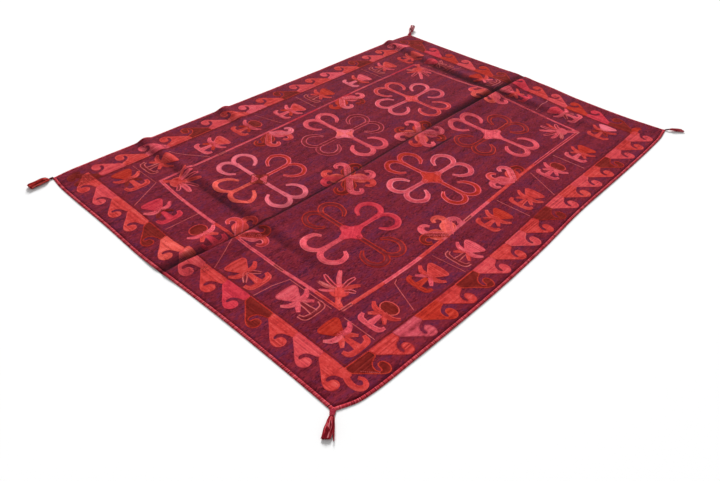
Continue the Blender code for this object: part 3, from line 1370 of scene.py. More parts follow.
@dataclass
class Palmette:
    """A hand of fingers that grows out of an inner corner of the frame."""

    corner: Pair
    heading: float
    palm: Dress
    fingers: tuple[Finger, ...]
    middle: float = 0.088
    palm_radii: Pair = (0.036, 0.038)
    stem: Course = ((0.004, 0.0), (0.035, 0.005))
    stem_widths: Table = ((0, 0.030), (0.4, 0.018), (1, 0.034))
    finger_shape: Table = ((0, 0.8), (0.5, 1), (0.85, 0.85), (1, 0.45))

    def work(self, cloth: Needlework) -> None:
        """Works the stem, the palm and the fingers.

        Args:
            cloth: takes the rows.
        """
        place = Placement(*self.corner, self.heading)
        cloth.stroke(curve((*self.stem, (self.middle, 0.0))), self.stem_widths, self.palm, place)
        cloth.patch(arc((self.middle, 0.0), self.palm_radii), self.palm, place, self.heading)
        for finger in self.fingers:
            widths = widths_of(self.finger_shape, finger.width)
            cloth.stroke(finger.line(self.middle), widths, finger.dress, place, LIFT_STEP)


# One wave: shares of its pitch and of its rise. It reaches a little under its neighbours.
WAVE = np.array((
    (-0.02, 0.00), (0.33, 0.00), (0.67, 0.00), (1.03, 0.00), (1.06, 0.29), (0.90, 0.345), (0.79, 0.39),
    (0.705, 0.465), (0.655, 0.565), (0.645, 0.675), (0.67, 0.765), (0.72, 0.795), (0.76, 0.745),
    (0.76, 0.655), (0.79, 0.565), (0.86, 0.51), (0.95, 0.505), (1.03, 0.555), (1.075, 0.665),
    (1.075, 0.79), (1.03, 0.91), (0.94, 0.98), (0.84, 1.00), (0.73, 0.955), (0.59, 0.835), (0.45, 0.69),
    (0.305, 0.545), (0.16, 0.41), (0.035, 0.30),
))


@dataclass
class RunningDog:
    """A running-dog edging of hooked waves along one side."""

    side: str
    start: float
    pitch: float
    dyes: tuple[Dress, ...]
    inset: float = 0.140
    rise: float = 0.102
    stray: float = 0.0015
    line_start: float = -0.01
    line_drop: float = 0.006
    line_width: float = 0.0030

    def place(self, start: float) -> Placer:
        """Puts wave points on the plan: x along the side, y outwards from the band's base."""
        return lambda points: FORM.on_side(self.side, start + points[:, 0], self.inset - points[:, 1])

    def work(self, cloth: Needlework) -> None:
        """Works every wave, with rows along the side, and the thin line under them.

        Args:
            cloth: takes the rows.
        """
        angle = 0.0 if self.side in ("near", "far") else 90.0
        for number, dress in enumerate(self.dyes):
            size = cloth.chance.normal((self.pitch, self.rise), (self.stray, self.stray))
            cloth.patch(WAVE * size, dress, self.place(self.start + self.pitch * number), angle)
        ends = (self.start + self.line_start, self.start + self.pitch * len(self.dyes))
        cloth.thread([(end, -self.line_drop) for end in ends], Dye.BRICK, self.place(0.0), self.line_width)


@dataclass(frozen=True)
class FrameSide:
    """One side of the frame line: its course, its width and its changing yarns."""

    course: Course
    width: float
    dresses: tuple[Dress, ...]


@dataclass(frozen=True)
class FrameLine:
    """The line between the field and the border, in lengths of changing yarn.

    An open length is short. The others are as long as the range says.
    """

    sides: tuple[FrameSide, ...]
    spacing: float = POINT_SPACING
    open_length: float = 0.05
    lengths: Pair = (0.12, 0.22)
    shortest_run: int = 3

    def work(self, cloth: Needlework) -> None:
        """Works every length.

        Args:
            cloth: takes the rows.
        """
        for side in self.sides:
            line, dresses = curve(plan_course(side.course), self.spacing), cycle(side.dresses)
            start, last = 0, len(line) - 1
            while start < last:
                dress = next(dresses)
                long = self.open_length if dress is OPEN else float(cloth.chance.uniform(*self.lengths))
                end = min(start + int(long / self.spacing), last)
                if end - start >= self.shortest_run:
                    cloth.stroke(line[start:end + 1], ((0, side.width), (1, side.width)), dress, AS_DRAWN)
                start = end


@dataclass(frozen=True)
class CellThreads:
    """The thin lines that part the border's cells."""

    courses: tuple[Course, ...]

    def work(self, cloth: Needlework) -> None:
        """Works every line."""
        for course in self.courses:
            cloth.thread(plan_course(course), Dye.SALMON, AS_DRAWN)


@dataclass(frozen=True)
class CornerHooks:
    """The odd hooks that fill the border's corners, and the end of a wave beside the fold."""

    hooks: tuple[tuple[Course, float, Dress], ...]
    wave_end: Course
    shape: Table = ((0, 1), (0.6, 1), (1, 0.55))

    def work(self, cloth: Needlework) -> None:
        """Works the hooks, each from its course, its width and its yarns, and then the wave's end.

        Args:
            cloth: takes the rows.
        """
        for course, width, dress in self.hooks:
            cloth.stroke(curve(plan_course(course)), widths_of(self.shape, width), dress, AS_DRAWN)
        cloth.patch(plan_course(self.wave_end), BRIGHT, AS_DRAWN, 90, LIFT_STEP)


# ---------------------------------------------------------------- the sheet, binding and tassels


@dataclass
class GroundSheet:
    """The woven ground: one closed sheet inside the binding.

    Its points lie closer together from a little before a narrow lip's foot to a little past its
    top.
    """

    spacing: float = 0.0170
    crease_spacing: float = 0.0032
    narrow_rise: float = 0.03
    before_crease: float = 0.014
    past_crease: float = 0.010

    def stations(self, runs: str, length: float) -> Points:
        """Places along one direction, closer together where a crease crosses it.

        Args:
            runs: the direction that the stations follow, x or y.
            length: the length to fill, from its middle.

        Returns:
            The shares from 0 to 1.
        """
        places = [-length / 2]
        while places[-1] < length / 2:
            here = places[-1]
            near = any(
                lip.runs != runs and lip.rise < self.narrow_rise
                and -self.before_crease < (here - lip.foot) * lip.towards < lip.rise + self.past_crease
                for lip in LIPS)
            places.append(here + (self.crease_spacing if near else self.spacing))
        places = np.array(places)
        return (places - places[0]) / (places[-1] - places[0])

    def build(self) -> bpy.types.Object:
        """Models and dresses the sheet.

        Returns:
            The finished piece.
        """
        columns, rows = self.stations("x", RUG_LENGTH), self.stations("y", RUG_WIDTH)
        shape = bmesh.new()
        bmesh.ops.create_grid(shape, x_segments=len(columns) - 1, y_segments=len(rows) - 1, size=0.5)
        mesh = mesh_of(shape, "ground")
        flat = np.empty(len(mesh.vertices) * 3)
        mesh.vertices.foreach_get("co", flat)
        index = np.rint((flat.reshape(-1, 3)[:, :2] + 0.5) * (len(columns) - 1, len(rows) - 1)).astype(int)
        plan = FORM.sheet_points(np.column_stack((columns[index[:, 0]], rows[index[:, 1]])))
        mesh.vertices.foreach_set("co", FORM.world(plan, SHEET_LIFT).ravel())
        # The ground's painted shade in the folds, which its material darkens it by.
        depth = mesh.attributes.new("painted_crease_shade", "FLOAT", "POINT").data
        depth.foreach_set("value", FORM.painted_crease_shade(plan))
        mesh.materials.append(GROUND.make())
        mesh.shade_smooth()
        piece = add_piece("ground", mesh)
        thickness = piece.modifiers.new("thickness", "SOLIDIFY")
        thickness.thickness = SHEET_THICKNESS
        thickness.offset = 1
        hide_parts("cloth")
        return piece


@dataclass(frozen=True)
class Wrap:
    """One wrapped stitch of the binding, 1 m across, wide and high: it arches over the edge."""

    slant: float = 0.35
    overlap: float = 1.15
    edge_height: float = 0.77
    crown_height: float = 0.20
    foot: float = 0.03

    def build(self) -> bpy.types.Object:
        """Models the wrap.

        Returns:
            The object that is copied along the edge.
        """
        shape = bmesh.new()
        bmesh.ops.create_grid(shape, x_segments=2, y_segments=6, size=0.5)
        for vertex in shape.verts:
            x, y, _ = vertex.co
            arch = math.sqrt(max(1 - (2 * y) ** 2, 0))
            crown = 1 - (2 * x) ** 2
            height = arch * (self.edge_height + self.crown_height * crown) + self.foot
            vertex.co = (x * self.overlap + y * self.slant, y, height)
        for face in shape.faces:
            face.smooth = True
        return bpy.data.objects.new("wrap", mesh_of(shape, "wrap"))


@dataclass
class Binding:
    """The edging worked over one side: slanting stitches of two plies wrapped round the edge.

    The twist is the length in which the plies come round, the tone says how far it and chance shift
    a wrap's shade, and each pair of strays is the middle and the spread of a wrap's share.
    """

    side: str
    spacing: float = 0.0036
    overlap: float = 1.1
    twist: float = 0.0088
    twist_stray: float = 0.5
    tone: Pair = (0.20, 0.10)
    dark_below: float = -0.97
    turn_stray: float = 0.05
    width_strays: Pair = (1, 0.02)
    height_strays: Pair = (0.98, 0.03)
    map_margin: float = 0.02

    def build(self, layer: StitchLayer) -> bpy.types.Object:
        """Models and dresses the binding of the side.

        Args:
            layer: copies the wrap.

        Returns:
            The finished piece.
        """
        chance = np.random.default_rng(len(self.side))
        length = RUG_LENGTH if self.side in ("near", "far") else RUG_WIDTH
        count = int(length / self.spacing)
        middle = BINDING_WIDTH / 2
        along = np.linspace(middle * 0.5, length - middle * 0.5, count)
        plan = FORM.on_side(self.side, along, np.full(count, middle))
        step = np.gradient(plan, axis=0)
        heading = np.arctan2(step[:, 1], step[:, 0])
        slope_x, slope_y = FORM.slopes(plan)
        ahead = slope_x * np.cos(heading) + slope_y * np.sin(heading)
        turns = np.column_stack((
            np.zeros(count), -np.arctan(ahead), heading + chance.normal(0, self.turn_stray, count)))
        sizes = np.column_stack((
            np.full(count, self.spacing * self.overlap),
            np.full(count, BINDING_WIDTH) * chance.normal(*self.width_strays, count),
            np.full(count, BINDING_HEIGHT) * chance.normal(*self.height_strays, count)))
        twist = np.sin(along * 2 * np.pi / self.twist + chance.normal(0, self.twist_stray, count))
        swing, stray = self.tone
        shades = np.clip(0.5 + swing * twist + chance.normal(0, stray, count), 0, 1)
        yarns = (twist < self.dark_below).astype(np.int32)
        spots, name = FORM.world(plan, 0.0), "binding_" + self.side
        # Each wrap takes the painted shade of the fold it lies in.
        mesh = layer.lay(name + "_stitched", spots, turns, sizes, shades, yarns, FORM.painted_crease_shade(plan))
        planar_map(mesh, spots, self.map_margin)
        piece = add_piece(name + "_stitched", mesh)
        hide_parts(name)
        return piece


@dataclass(frozen=True)
class TasselLook:
    """How a tassel's skirt hangs and how its yarns are toned.

    The tables give, by share along the skirt, its half width, the height of its middle and its half
    thickness. The slant shortens the side to the right, the lean carries the end to the left, the
    strays part from the left edge, and the tones say how light the yarns are at the left edge, at the
    right edge, and how much lighter they get towards the cut. The difference between the left and the
    right edge is painted light on one side of the skirt and painted shade on the other. Left and right
    are as seen along the tassel's heading.
    """

    half_widths: Table
    heights: Table
    half_depths: Table
    slant: float = 0.0
    lean: float = 0.0
    strays: int = 0
    tones: Triple = (0.5, 0.5, 0.2)


@dataclass
class Tassel:
    """A corner tassel: a wrapped neck and a skirt of cut yarn, lying on the floor.

    The tip is how far from the corner the neck starts, and the gap is what lies between the neck
    and the skirt. The sway is how far, how fast and from where the yarns wave, as they run. The
    strays' places are shares of the half width.
    """

    corner: str
    heading: float
    tip: float
    neck_length: float
    neck_halves: Pair
    skirt_length: float
    look: TasselLook
    finishes: tuple[YarnFinish, YarnFinish]
    seed: int
    strands: int = 84
    steps: int = 11
    yarn_radius: float = 0.0012
    gap: float = 0.0003
    end_inset: float = 0.001
    coil_pitch: float = 0.0022
    coil_sides: int = 10
    coil_start: float = 0.0038
    coil_half_height: float = 0.0024
    neck_tone: Pair = (0.5, 0.10)
    golden_angle: float = 2.399963
    sway: Triple = (0.0009, 9, 6.28)
    unevenness: float = 0.05
    stray_place: Pair = (0.96, 0.12)
    stray_bend: float = 0.002
    gathering: float = 0.22
    tone_stray: float = 0.15
    tone_middle: float = 0.4

    def axis(self) -> tuple[Vector, Vector, Vector]:
        """Finds how the tassel lies.

        Returns:
            Where the neck starts, the way the tassel points and the way across it.
        """
        turn = math.radians(self.heading)
        forward = Vector((math.cos(turn), math.sin(turn), 0))
        x, y = FORM.corner(self.corner)
        start = Vector((x, y, 0)) + FORM.centre + forward * self.tip
        return start, forward, Vector((-forward.y, forward.x, 0))

    def yarns(self, name: str, lines: Sequence[Sequence[Vector]], tones: Points,
              finish: YarnFinish) -> bpy.types.Object:
        """Makes many yarns one piece.

        Args:
            name: the piece's name.
            lines: the points that each yarn follows, as many for each.
            tones: how light the yarn is at each point of each line, from 0 to 1.
            finish: its dye.

        Returns:
            The finished piece.
        """
        data = bpy.data.curves.new(name, "CURVE")
        data.dimensions = "3D"
        data.bevel_depth = self.yarn_radius
        data.bevel_resolution = 1
        data.use_fill_caps = True
        for line in lines:
            spline = data.splines.new("POLY")
            spline.points.add(len(line) - 1)
            for point, spot in zip(spline.points, line):
                point.co = (*spot, 1)
        mesh = as_mesh(in_scene(name + "_curves", data), name)
        mesh.materials.clear()
        mesh.materials.append(bpy.data.materials.get(finish.name) or finish.make())
        mesh.shade_smooth()
        share = np.arange(len(mesh.vertices)) / len(mesh.vertices)
        values = np.clip(tones.ravel(), 0, 1)[(share * tones.size).astype(int)]
        mesh.attributes.new("shade", "FLOAT", "POINT").data.foreach_set("value", values)
        return add_piece(name, mesh)

    def neck(self, chance: np.random.Generator) -> tuple[list[Vector], Points]:
        """Winds the coil of yarn round the neck.

        Args:
            chance: the unevenness of the yarn's dye.

        Returns:
            The points that the yarn follows, and its tones.
        """
        start, forward, sideways = self.axis()
        up, inset = Vector((0, 0, 1)), self.end_inset
        share = np.linspace(0, 1, int(self.neck_length / self.coil_pitch) * self.coil_sides + 1)
        halves = np.interp(share, (0, 1), self.neck_halves) - self.yarn_radius
        height = np.interp(share, (0, 1), (self.coil_start, self.look.heights[0][1]))
        angles = np.arange(len(share)) / self.coil_sides * 2 * math.pi
        coil = [
            start + forward * (inset + (self.neck_length - 2 * inset) * part)
            + sideways * half * math.cos(angle)
            + up * max(level + min(half, self.coil_half_height) * math.sin(angle), self.yarn_radius)
            for part, level, half, angle in zip(share, height, halves, angles)]
        return coil, chance.normal(*self.neck_tone, (1, len(coil)))

    def skirt(self, chance: np.random.Generator) -> tuple[list[list[Vector]], Points]:
        """Hangs the loose yarns of the skirt.

        Args:
            chance: the unevenness of the yarns.

        Returns:
            The points that each yarn follows, and their tones.
        """
        start, forward, sideways = self.axis()
        begin = start + forward * (self.neck_length + self.gap)
        up, look, inset = Vector((0, 0, 1)), self.look, self.end_inset
        length = self.skirt_length - 2 * inset
        swing, waves, turn = self.sway
        lines, tones = [], []
        for number in range(self.strands):
            angle = self.golden_angle * number
            reach = math.sqrt((number + 0.5) / self.strands)
            aside, above = reach * math.cos(angle), reach * math.sin(angle)
            end = 1.0 - self.unevenness * chance.random() ** 2 - look.slant * (0.5 - aside / 2)
            phase = chance.random() * turn
            share = np.linspace(0, end, self.steps)
            half = read_table(look.half_widths, share) - self.yarn_radius
            middle, deep = read_table(look.heights, share), read_table(look.half_depths, share)
            across = half * aside + swing * np.sin(phase + share * waves) + look.lean * share ** 2
            if number >= self.strands - look.strays:
                place, stray = self.stray_place
                across = half * (place - stray * chance.random()) + self.stray_bend * share ** 2
            elif look.strays:
                across = (across + half) * (1 - self.gathering * share ** 2) - half
            level = np.maximum(middle + np.maximum(deep - self.yarn_radius, 0) * above, self.yarn_radius)
            lines.append([
                begin + forward * (inset + length * part) + sideways * side + up * high
                for part, side, high in zip(share, across, level)])
            # The gap between the left and right tones is painted light on one side of the skirt and painted
            # shade on the other.
            left, right, tip = look.tones
            base = (left + right) / 2 + (left - right) / 2 * aside + chance.normal(0, self.tone_stray)
            tones.append(base + tip * (share - self.tone_middle))
        return lines, np.array(tones)

    def build(self) -> list[bpy.types.Object]:
        """Models and dresses the neck and the skirt.

        Returns:
            The two finished pieces.
        """
        chance = np.random.default_rng(self.seed)
        skirt_finish, neck_finish = self.finishes
        coil, tones = self.neck(chance)
        neck = self.yarns("tassel_tie_" + self.corner, [coil], tones, neck_finish)
        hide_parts("tassel_neck_" + self.corner)
        lines, tones = self.skirt(chance)
        skirt = self.yarns("tassel_yarns_" + self.corner, lines, tones, skirt_finish)
        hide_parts("tassel_skirt_" + self.corner)
        return [neck, skirt]


# ---------------------------------------------------------------- the design


# Dresses of one yarn, of dark brick in an outline, of plum that lets only its outline show, and of
# one yarn in another.
CORAL, PINK, PALE = Dress(Dye.CORAL_RED), Dress(Dye.CORAL_PINK), Dress(Dye.LIGHT_PINK)
DUSTY, ORANGE, CERISE = Dress(Dye.DUSTY_PINK), Dress(Dye.ORANGE_RED), Dress(Dye.PINK_RED)
BRICK, SALMON, BRIGHT = Dress(Dye.BRICK), Dress(Dye.SALMON), Dress(Dye.BRIGHT_CORAL)
ROSE, DARK = Dress(Dye.ROSE_CORAL), Dress(Dye.BRICK, Dye.ORANGE_RED)
OPEN, OPEN_ORANGE = Dress(Dye.PLUM, Dye.SALMON), Dress(Dye.PLUM, Dye.ORANGE_RED)
OPEN_DUSTY, OPEN_PINK = Dress(Dye.PLUM, Dye.DUSTY_PINK), Dress(Dye.PLUM, Dye.CORAL_PINK)
BRICK_IN_CORAL, BRICK_IN_PINK = Dress(Dye.BRICK, Dye.CORAL_RED), Dress(Dye.BRICK, Dye.CORAL_PINK)
CORAL_IN_PINK, ORANGE_IN_PINK = Dress(Dye.CORAL_RED, Dye.CORAL_PINK), Dress(Dye.ORANGE_RED, Dye.CORAL_PINK)
PINK_IN_PALE = Dress(Dye.CORAL_PINK, Dye.LIGHT_PINK)

BANDS = (
    RunningDog("left", 0.064, 0.1213, (
        CORAL, ROSE, CORAL, CORAL, DARK, BRIGHT, ROSE, CORAL, CERISE, DARK, CORAL, ROSE, CORAL)),
    RunningDog("near", 0.133, 0.1120, (
        DARK, CORAL, DUSTY, ORANGE, CORAL, *(DARK, ROSE, CORAL, ROSE, CORAL) * 2, DARK, ROSE, CORAL, ROSE),
        inset=0.130, rise=0.108),
    RunningDog("right", 0.1125, 0.1225, (
        DARK, CERISE, ORANGE, ROSE, CORAL, CERISE, DARK, ORANGE, ROSE, ORANGE, CERISE, DARK), inset=0.148),
    RunningDog("far", 0.0223, 0.1167, (
        DARK, PINK, CORAL, ROSE, *(DARK, CORAL, PINK, CORAL, ROSE) * 3, BRICK)),
)

BORDERS = {
    "left": Border(90, 1.0, (
        (0.228, 0.318, Figure(ORANGE, CORAL, BRICK, CORAL)),
        (0.197, 0.602, Figure(CERISE, PINK, BRICK, CERISE)),
        (0.228, 0.855, Figure(BRICK_IN_CORAL, PINK, CORAL, CERISE, Head.ROUND)),
        (0.205, 1.138, Figure(CORAL, CORAL, OPEN, CORAL)),
        (0.240, 1.380, Figure(PINK, PINK, PINK, OPEN)),
        (0.232, 1.598, Figure(ORANGE, PINK, CORAL, CORAL)),
    )),
    "near": Border(0, 0.88, (
        (0.325, 1.540, Figure(BRICK_IN_CORAL, CORAL, CORAL, PINK, Head.ROUND)),
        (0.587, 1.535, Figure(CORAL, CORAL, PINK, ORANGE)),
        (0.800, 1.550, Figure(PINK, PINK, CORAL, OPEN)),
        (1.060, 1.510, Figure(ORANGE, CORAL, CORAL, CORAL)),
        (1.285, 1.525, Figure(CORAL, CORAL, CORAL, CORAL)),
        (1.570, 1.487, Figure(BRICK_IN_CORAL, PINK, PINK, PINK, Head.ROUND)),
        (1.798, 1.505, Figure(ORANGE, CORAL, CORAL, PINK)),
        (2.070, 1.480, Figure(PALE, CORAL, DARK, CORAL)),
    )),
    "far": Border(0, 0.92, (
        (0.318, 0.215, Figure(CORAL, CORAL, CORAL, OPEN)),
        (0.585, 0.245, Figure(CORAL_IN_PINK, PINK, ORANGE, PINK)),
        (0.810, 0.230, Figure(BRICK_IN_CORAL, PINK, ORANGE, CORAL, Head.ROUND)),
        (1.070, 0.245, Figure(CORAL_IN_PINK, PINK, ORANGE, PINK)),
        (1.305, 0.220, Figure(ORANGE, CORAL, CORAL, OPEN)),
        (1.585, 0.235, Figure(PINK, CORAL, BRICK, PALE)),
        (1.820, 0.220, Figure(CORAL, PINK, CORAL, OPEN)),
        (2.050, 0.240, Figure(CORAL, CORAL, CORAL, CORAL)),
    )),
    "right": Border(90, 1.0, (
        (2.165, 0.500, Figure(CERISE, OPEN, OPEN, OPEN)),
        (2.195, 0.805, Figure(ORANGE, CORAL, PINK, OPEN)),
        (2.170, 1.030, Figure(PINK, CORAL, CORAL, CERISE)),
        (2.165, 1.335, Figure(CERISE, PINK, OPEN, PINK)),
    )),
}

MEDALLIONS = (
    Medallion(plan_of(0.629, 0.617), (
        Arm(ORANGE_IN_PINK, 0.217, 0.113), Arm(PALE, 0.222), Arm(BRIGHT, 0.194, 0.115), Arm(PALE, 0.238)),
        BRICK, (0.050, 0.050), PINK, stem_width=0.020, horn_width=0.0225),
    Medallion(plan_of(1.182, 0.600), (
        Arm(OPEN_DUSTY, 0.207, 0.110), Arm(PINK, 0.230), Arm(OPEN_DUSTY, 0.217, 0.110), Arm(PINK, 0.226)),
        PALE, (0.060, 0.055), BRIGHT),
    Medallion(plan_of(1.712, 0.586), (
        Arm(PINK_IN_PALE, 0.198, 0.108), Arm(CORAL_IN_PINK, 0.216), Arm(PINK_IN_PALE, 0.208, 0.105),
        Arm(CORAL_IN_PINK, 0.221)), CORAL, (0.046, 0.046), PINK, stem_width=0.020, horn_width=0.0225),
    Medallion(plan_of(0.646, 1.156), (
        Arm(CERISE, 0.219, 0.113, 0.118, 0.056), Arm(OPEN_ORANGE, 0.216),
        Arm(PINK, 0.211, 0.111, 0.112, 0.064), Arm(OPEN_ORANGE, 0.230)), CERISE, (0.060, 0.058)),
    Medallion(plan_of(1.187, 1.135), (
        Arm(PINK_IN_PALE, 0.209, 0.113), Arm(ORANGE_IN_PINK, 0.226, 0.105),
        Arm(PINK_IN_PALE, 0.212, 0.110, 0.116, 0.044), Arm(ORANGE_IN_PINK, 0.226, 0.104)),
        ORANGE_IN_PINK, (0.064, 0.062)),
    Medallion(plan_of(1.709, 1.106), (
        Arm(OPEN_ORANGE, 0.207, 0.116), Arm(PINK, 0.226, 0.107), Arm(OPEN_ORANGE, 0.209, 0.115),
        Arm(PINK, 0.234)), PINK, (0.064, 0.062)),
)

CROSSES = {
    "cross_1": Cross(plan_of(0.913, 0.885), (
        Quadrant(0, DARK, DARK, PINK), Quadrant(1, BRIGHT, CORAL, CERISE), Quadrant(2, DARK, DARK, PINK),
        Quadrant(3, BRIGHT, CORAL, PINK))),
    "cross_2": Cross(plan_of(1.450, 0.857), (
        Quadrant(0, ORANGE, DARK, PINK), Quadrant(1, BRIGHT, DARK, PINK), Quadrant(2, BRIGHT, CORAL, PINK),
        Quadrant(3, DUSTY, DARK, DUSTY))),
    "half_cross_left": Cross(plan_of(0.316, 0.868), (
        Quadrant(0, CORAL, CORAL, CORAL_IN_PINK), Quadrant(3, PINK, CORAL_IN_PINK, DARK))),
    "half_cross_right": Cross(plan_of(2.090, 0.850), (
        Quadrant(1, BRIGHT, CORAL_IN_PINK, BRIGHT), Quadrant(2, PINK, BRIGHT, PINK))),
    "half_cross_far_1": Cross(plan_of(0.915, 0.345), (
        Quadrant(2, DARK, DARK, CORAL_IN_PINK), Quadrant(3, PINK, CORAL_IN_PINK, PALE))),
    "half_cross_far_2": Cross(plan_of(1.440, 0.325), (
        Quadrant(2, ORANGE, ORANGE, PINK_IN_PALE), Quadrant(3, PINK, DARK, PINK))),
    "half_cross_near_1": Cross(plan_of(0.915, 1.440), (
        Quadrant(0, BRIGHT, DUSTY, BRIGHT), Quadrant(1, BRIGHT, PINK, DARK))),
    "half_cross_near_2": Cross(plan_of(1.435, 1.412), (
        Quadrant(0, CORAL, DARK, PINK_IN_PALE), Quadrant(1, PINK, CORAL_IN_PINK, PINK))),
}

PALMETTES = {
    "palmette_far_left": Palmette(plan_of(0.315, 0.345), 315, CORAL, (
        Finger(85, 0.124, CORAL, 0.013), Finger(67, 0.108, PINK, 0.021), Finger(45, 0.105, OPEN_PINK),
        Finger(18, 0.100, CORAL, 0.028), Finger(-17, 0.096, OPEN_PINK), Finger(-48, 0.095, PINK, 0.026),
        Finger(-81, 0.068, OPEN_PINK)), middle=0.0707),
    "palmette_near_left": Palmette(plan_of(0.315, 1.418), 45, CORAL, (
        Finger(86, 0.074, PINK, 0.014), Finger(58, 0.088, SALMON), Finger(32, 0.100, OPEN_PINK),
        Finger(-3, 0.104, PINK), Finger(-42, 0.088, OPEN_PINK), Finger(-72, 0.080, CORAL),
        Finger(-100, 0.060, OPEN_PINK))),
    "palmette_near_right": Palmette(plan_of(2.050, 1.388), 135, PINK, (
        Finger(-88, 0.070, OPEN_PINK), Finger(-58, 0.090, CORAL), Finger(-30, 0.100, OPEN_PINK),
        Finger(-4, 0.104, PINK), Finger(24, 0.104, OPEN_PINK), Finger(50, 0.096, PINK),
        Finger(80, 0.080, SALMON))),
    "palmette_far_right": Palmette(plan_of(2.082, 0.322), 225, CORAL, (
        Finger(-94, 0.070, SALMON), Finger(-62, 0.080, CORAL), Finger(-30, 0.096, OPEN_PINK),
        Finger(2, 0.120, PINK), Finger(34, 0.092, OPEN_PINK), Finger(62, 0.080, PINK),
        Finger(92, 0.070, OPEN_PINK))),
}

FRAME = FrameLine((
    FrameSide(
        ((0.316, 0.340), (0.303, 0.500), (0.299, 0.740), (0.305, 0.980), (0.304, 1.120), (0.311, 1.250),
         (0.315, 1.425)), 0.0145, (PINK, PINK, CORAL, PINK, OPEN, PINK, CORAL, CORAL, PINK)),
    FrameSide(
        ((0.313, 1.430), (0.700, 1.445), (1.200, 1.420), (1.600, 1.400), (2.050, 1.394)), 0.0160,
        (OPEN, CORAL, PINK, CORAL, DUSTY, OPEN, PINK, CORAL, CORAL, *(BRICK_IN_PINK,) * 3)),
    FrameSide(
        ((2.050, 1.394), (2.058, 1.250), (2.072, 1.100), (2.088, 0.950), (2.090, 0.750), (2.078, 0.600),
         (2.070, 0.450), (2.062, 0.318)), 0.0120, (PINK, *(BRICK_IN_PINK,) * 5)),
    FrameSide(
        ((2.062, 0.318), (1.600, 0.318), (1.000, 0.332), (0.310, 0.335)), 0.0120,
        (CERISE, DUSTY, PINK, CERISE, DUSTY, CERISE, PINK, PINK, OPEN, PINK, PINK)),
))

THREADS = CellThreads((
    ((0.295, 0.150), (0.295, 0.335)), ((0.292, 0.335), (0.140, 0.415)),
    ((0.140, 0.636), (0.290, 0.640)), ((0.300, 0.860), (0.225, 0.905), (0.140, 0.950)),
    ((0.145, 1.162), (0.225, 1.170), (0.292, 1.190), (0.294, 1.400)), ((0.294, 1.460), (0.294, 1.600)),
    ((0.565, 1.462), (0.545, 1.470), (0.490, 1.605)), ((0.765, 1.470), (0.780, 1.615)),
    ((1.250, 1.440), (1.255, 1.600)), ((1.545, 1.425), (1.465, 1.595)), ((1.756, 1.420), (1.760, 1.580)),
    ((0.165, 1.655), (0.205, 1.705)),
    ((0.475, 0.160), (0.520, 0.235), (0.585, 0.322)),
    ((0.985, 0.160), (1.030, 0.310)), ((1.270, 0.150), (1.270, 0.305)),
    ((1.785, 0.150), (1.790, 0.300)),
    ((2.100, 0.520), (2.240, 0.530)), ((2.105, 0.830), (2.240, 0.820)), ((2.100, 1.120), (2.240, 1.110)),
))

HOOKS = CornerHooks((
    (((0.135, 1.610), (0.118, 1.640), (0.108, 1.675), (0.118, 1.703), (0.140, 1.705), (0.150, 1.685),
      (0.142, 1.668)), 0.022, CORAL),
    (((2.232, 1.604), (2.262, 1.592), (2.296, 1.590), (2.318, 1.604)), 0.034, ORANGE),
    (((0.140, 0.110), (0.105, 0.085), (0.075, 0.055), (0.080, 0.035), (0.105, 0.040)), 0.024, BRICK),
), ((0.142, 0.786), (0.142, 0.842), (0.120, 0.846), (0.098, 0.838), (0.094, 0.812), (0.108, 0.796)))

MOTIFS: dict[str, Motif] = {
    **{f"medallion_{number}": medallion for number, medallion in enumerate(MEDALLIONS, 1)},
    **CROSSES,
    **PALMETTES,
    **{"running_dog_" + band.side: band for band in BANDS},
    **{"border_figures_" + side: border for side, border in BORDERS.items()},
    "frame_line": FRAME,
    "border_threads": THREADS,
    "corner_hooks": HOOKS,
}

# Each skirt's left and right tones differ by painted light and painted shade, most of all on the two right
# tassels.
TASSELS = (
    Tassel("far_left", 183.0, -0.004, 0.0190, (0.0050, 0.0036), 0.0890, TasselLook(
        half_widths=((0.0, 0.0080), (0.08, 0.0135), (0.25, 0.0165), (0.6, 0.0182), (1.0, 0.0200)),
        heights=((0.0, 0.0045), (0.15, 0.0095), (0.6, 0.0095), (1.0, 0.0085)),
        half_depths=((0.0, 0.0035), (0.15, 0.0085), (0.6, 0.0088), (1.0, 0.0080)),
        tones=(0.44, 0.36, 0.60)), (TASSEL_BRICK, NECK_DARK), seed=3),
    Tassel("near_left", 215.7, -0.007, 0.0245, (0.0106, 0.0076), 0.0770, TasselLook(
        half_widths=((0.0, 0.0085), (0.15, 0.0115), (0.45, 0.0150), (0.75, 0.0175), (1.0, 0.0192)),
        heights=((0.0, 0.0048), (0.3, 0.0065), (0.7, 0.0062), (1.0, 0.0050)),
        half_depths=((0.0, 0.0040), (0.3, 0.0060), (0.7, 0.0060), (1.0, 0.0048)),
        slant=-0.04, lean=-0.001, strays=7, tones=(0.22, 0.34, 0.40)),
        (TASSEL_CRIMSON, NECK_CRIMSON), seed=4),
    Tassel("near_right", 312.5, -0.004, 0.0210, (0.0048, 0.0036), 0.0650, TasselLook(
        half_widths=((0.0, 0.0040), (0.15, 0.0075), (0.4, 0.0110), (0.8, 0.0140), (1.0, 0.0145)),
        heights=((0.0, 0.0080), (0.2, 0.0085), (0.6, 0.0065), (1.0, 0.0045)),
        half_depths=((0.0, 0.0038), (0.2, 0.0052), (0.6, 0.0052), (1.0, 0.0042)),
        slant=-0.16, tones=(0.90, 0.30, 0.10)), (TASSEL_CRIMSON, NECK_DARK), seed=5),
    Tassel("far_right", 28.8, -0.007, 0.0265, (0.0125, 0.0085), 0.0890, TasselLook(
        half_widths=((0.0, 0.0080), (0.1, 0.0110), (0.3, 0.0145), (0.7, 0.0170), (1.0, 0.0170)),
        heights=((0.0, 0.0060), (0.3, 0.0125), (0.7, 0.0165), (1.0, 0.0205)),
        half_depths=((0.0, 0.0050), (0.3, 0.0095), (0.7, 0.0105), (1.0, 0.0100)),
        tones=(1.0, 0.15, 0.40)), (TASSEL_ROSE, NECK_CRIMSON), seed=6),
)


# ---------------------------------------------------------------- the studio


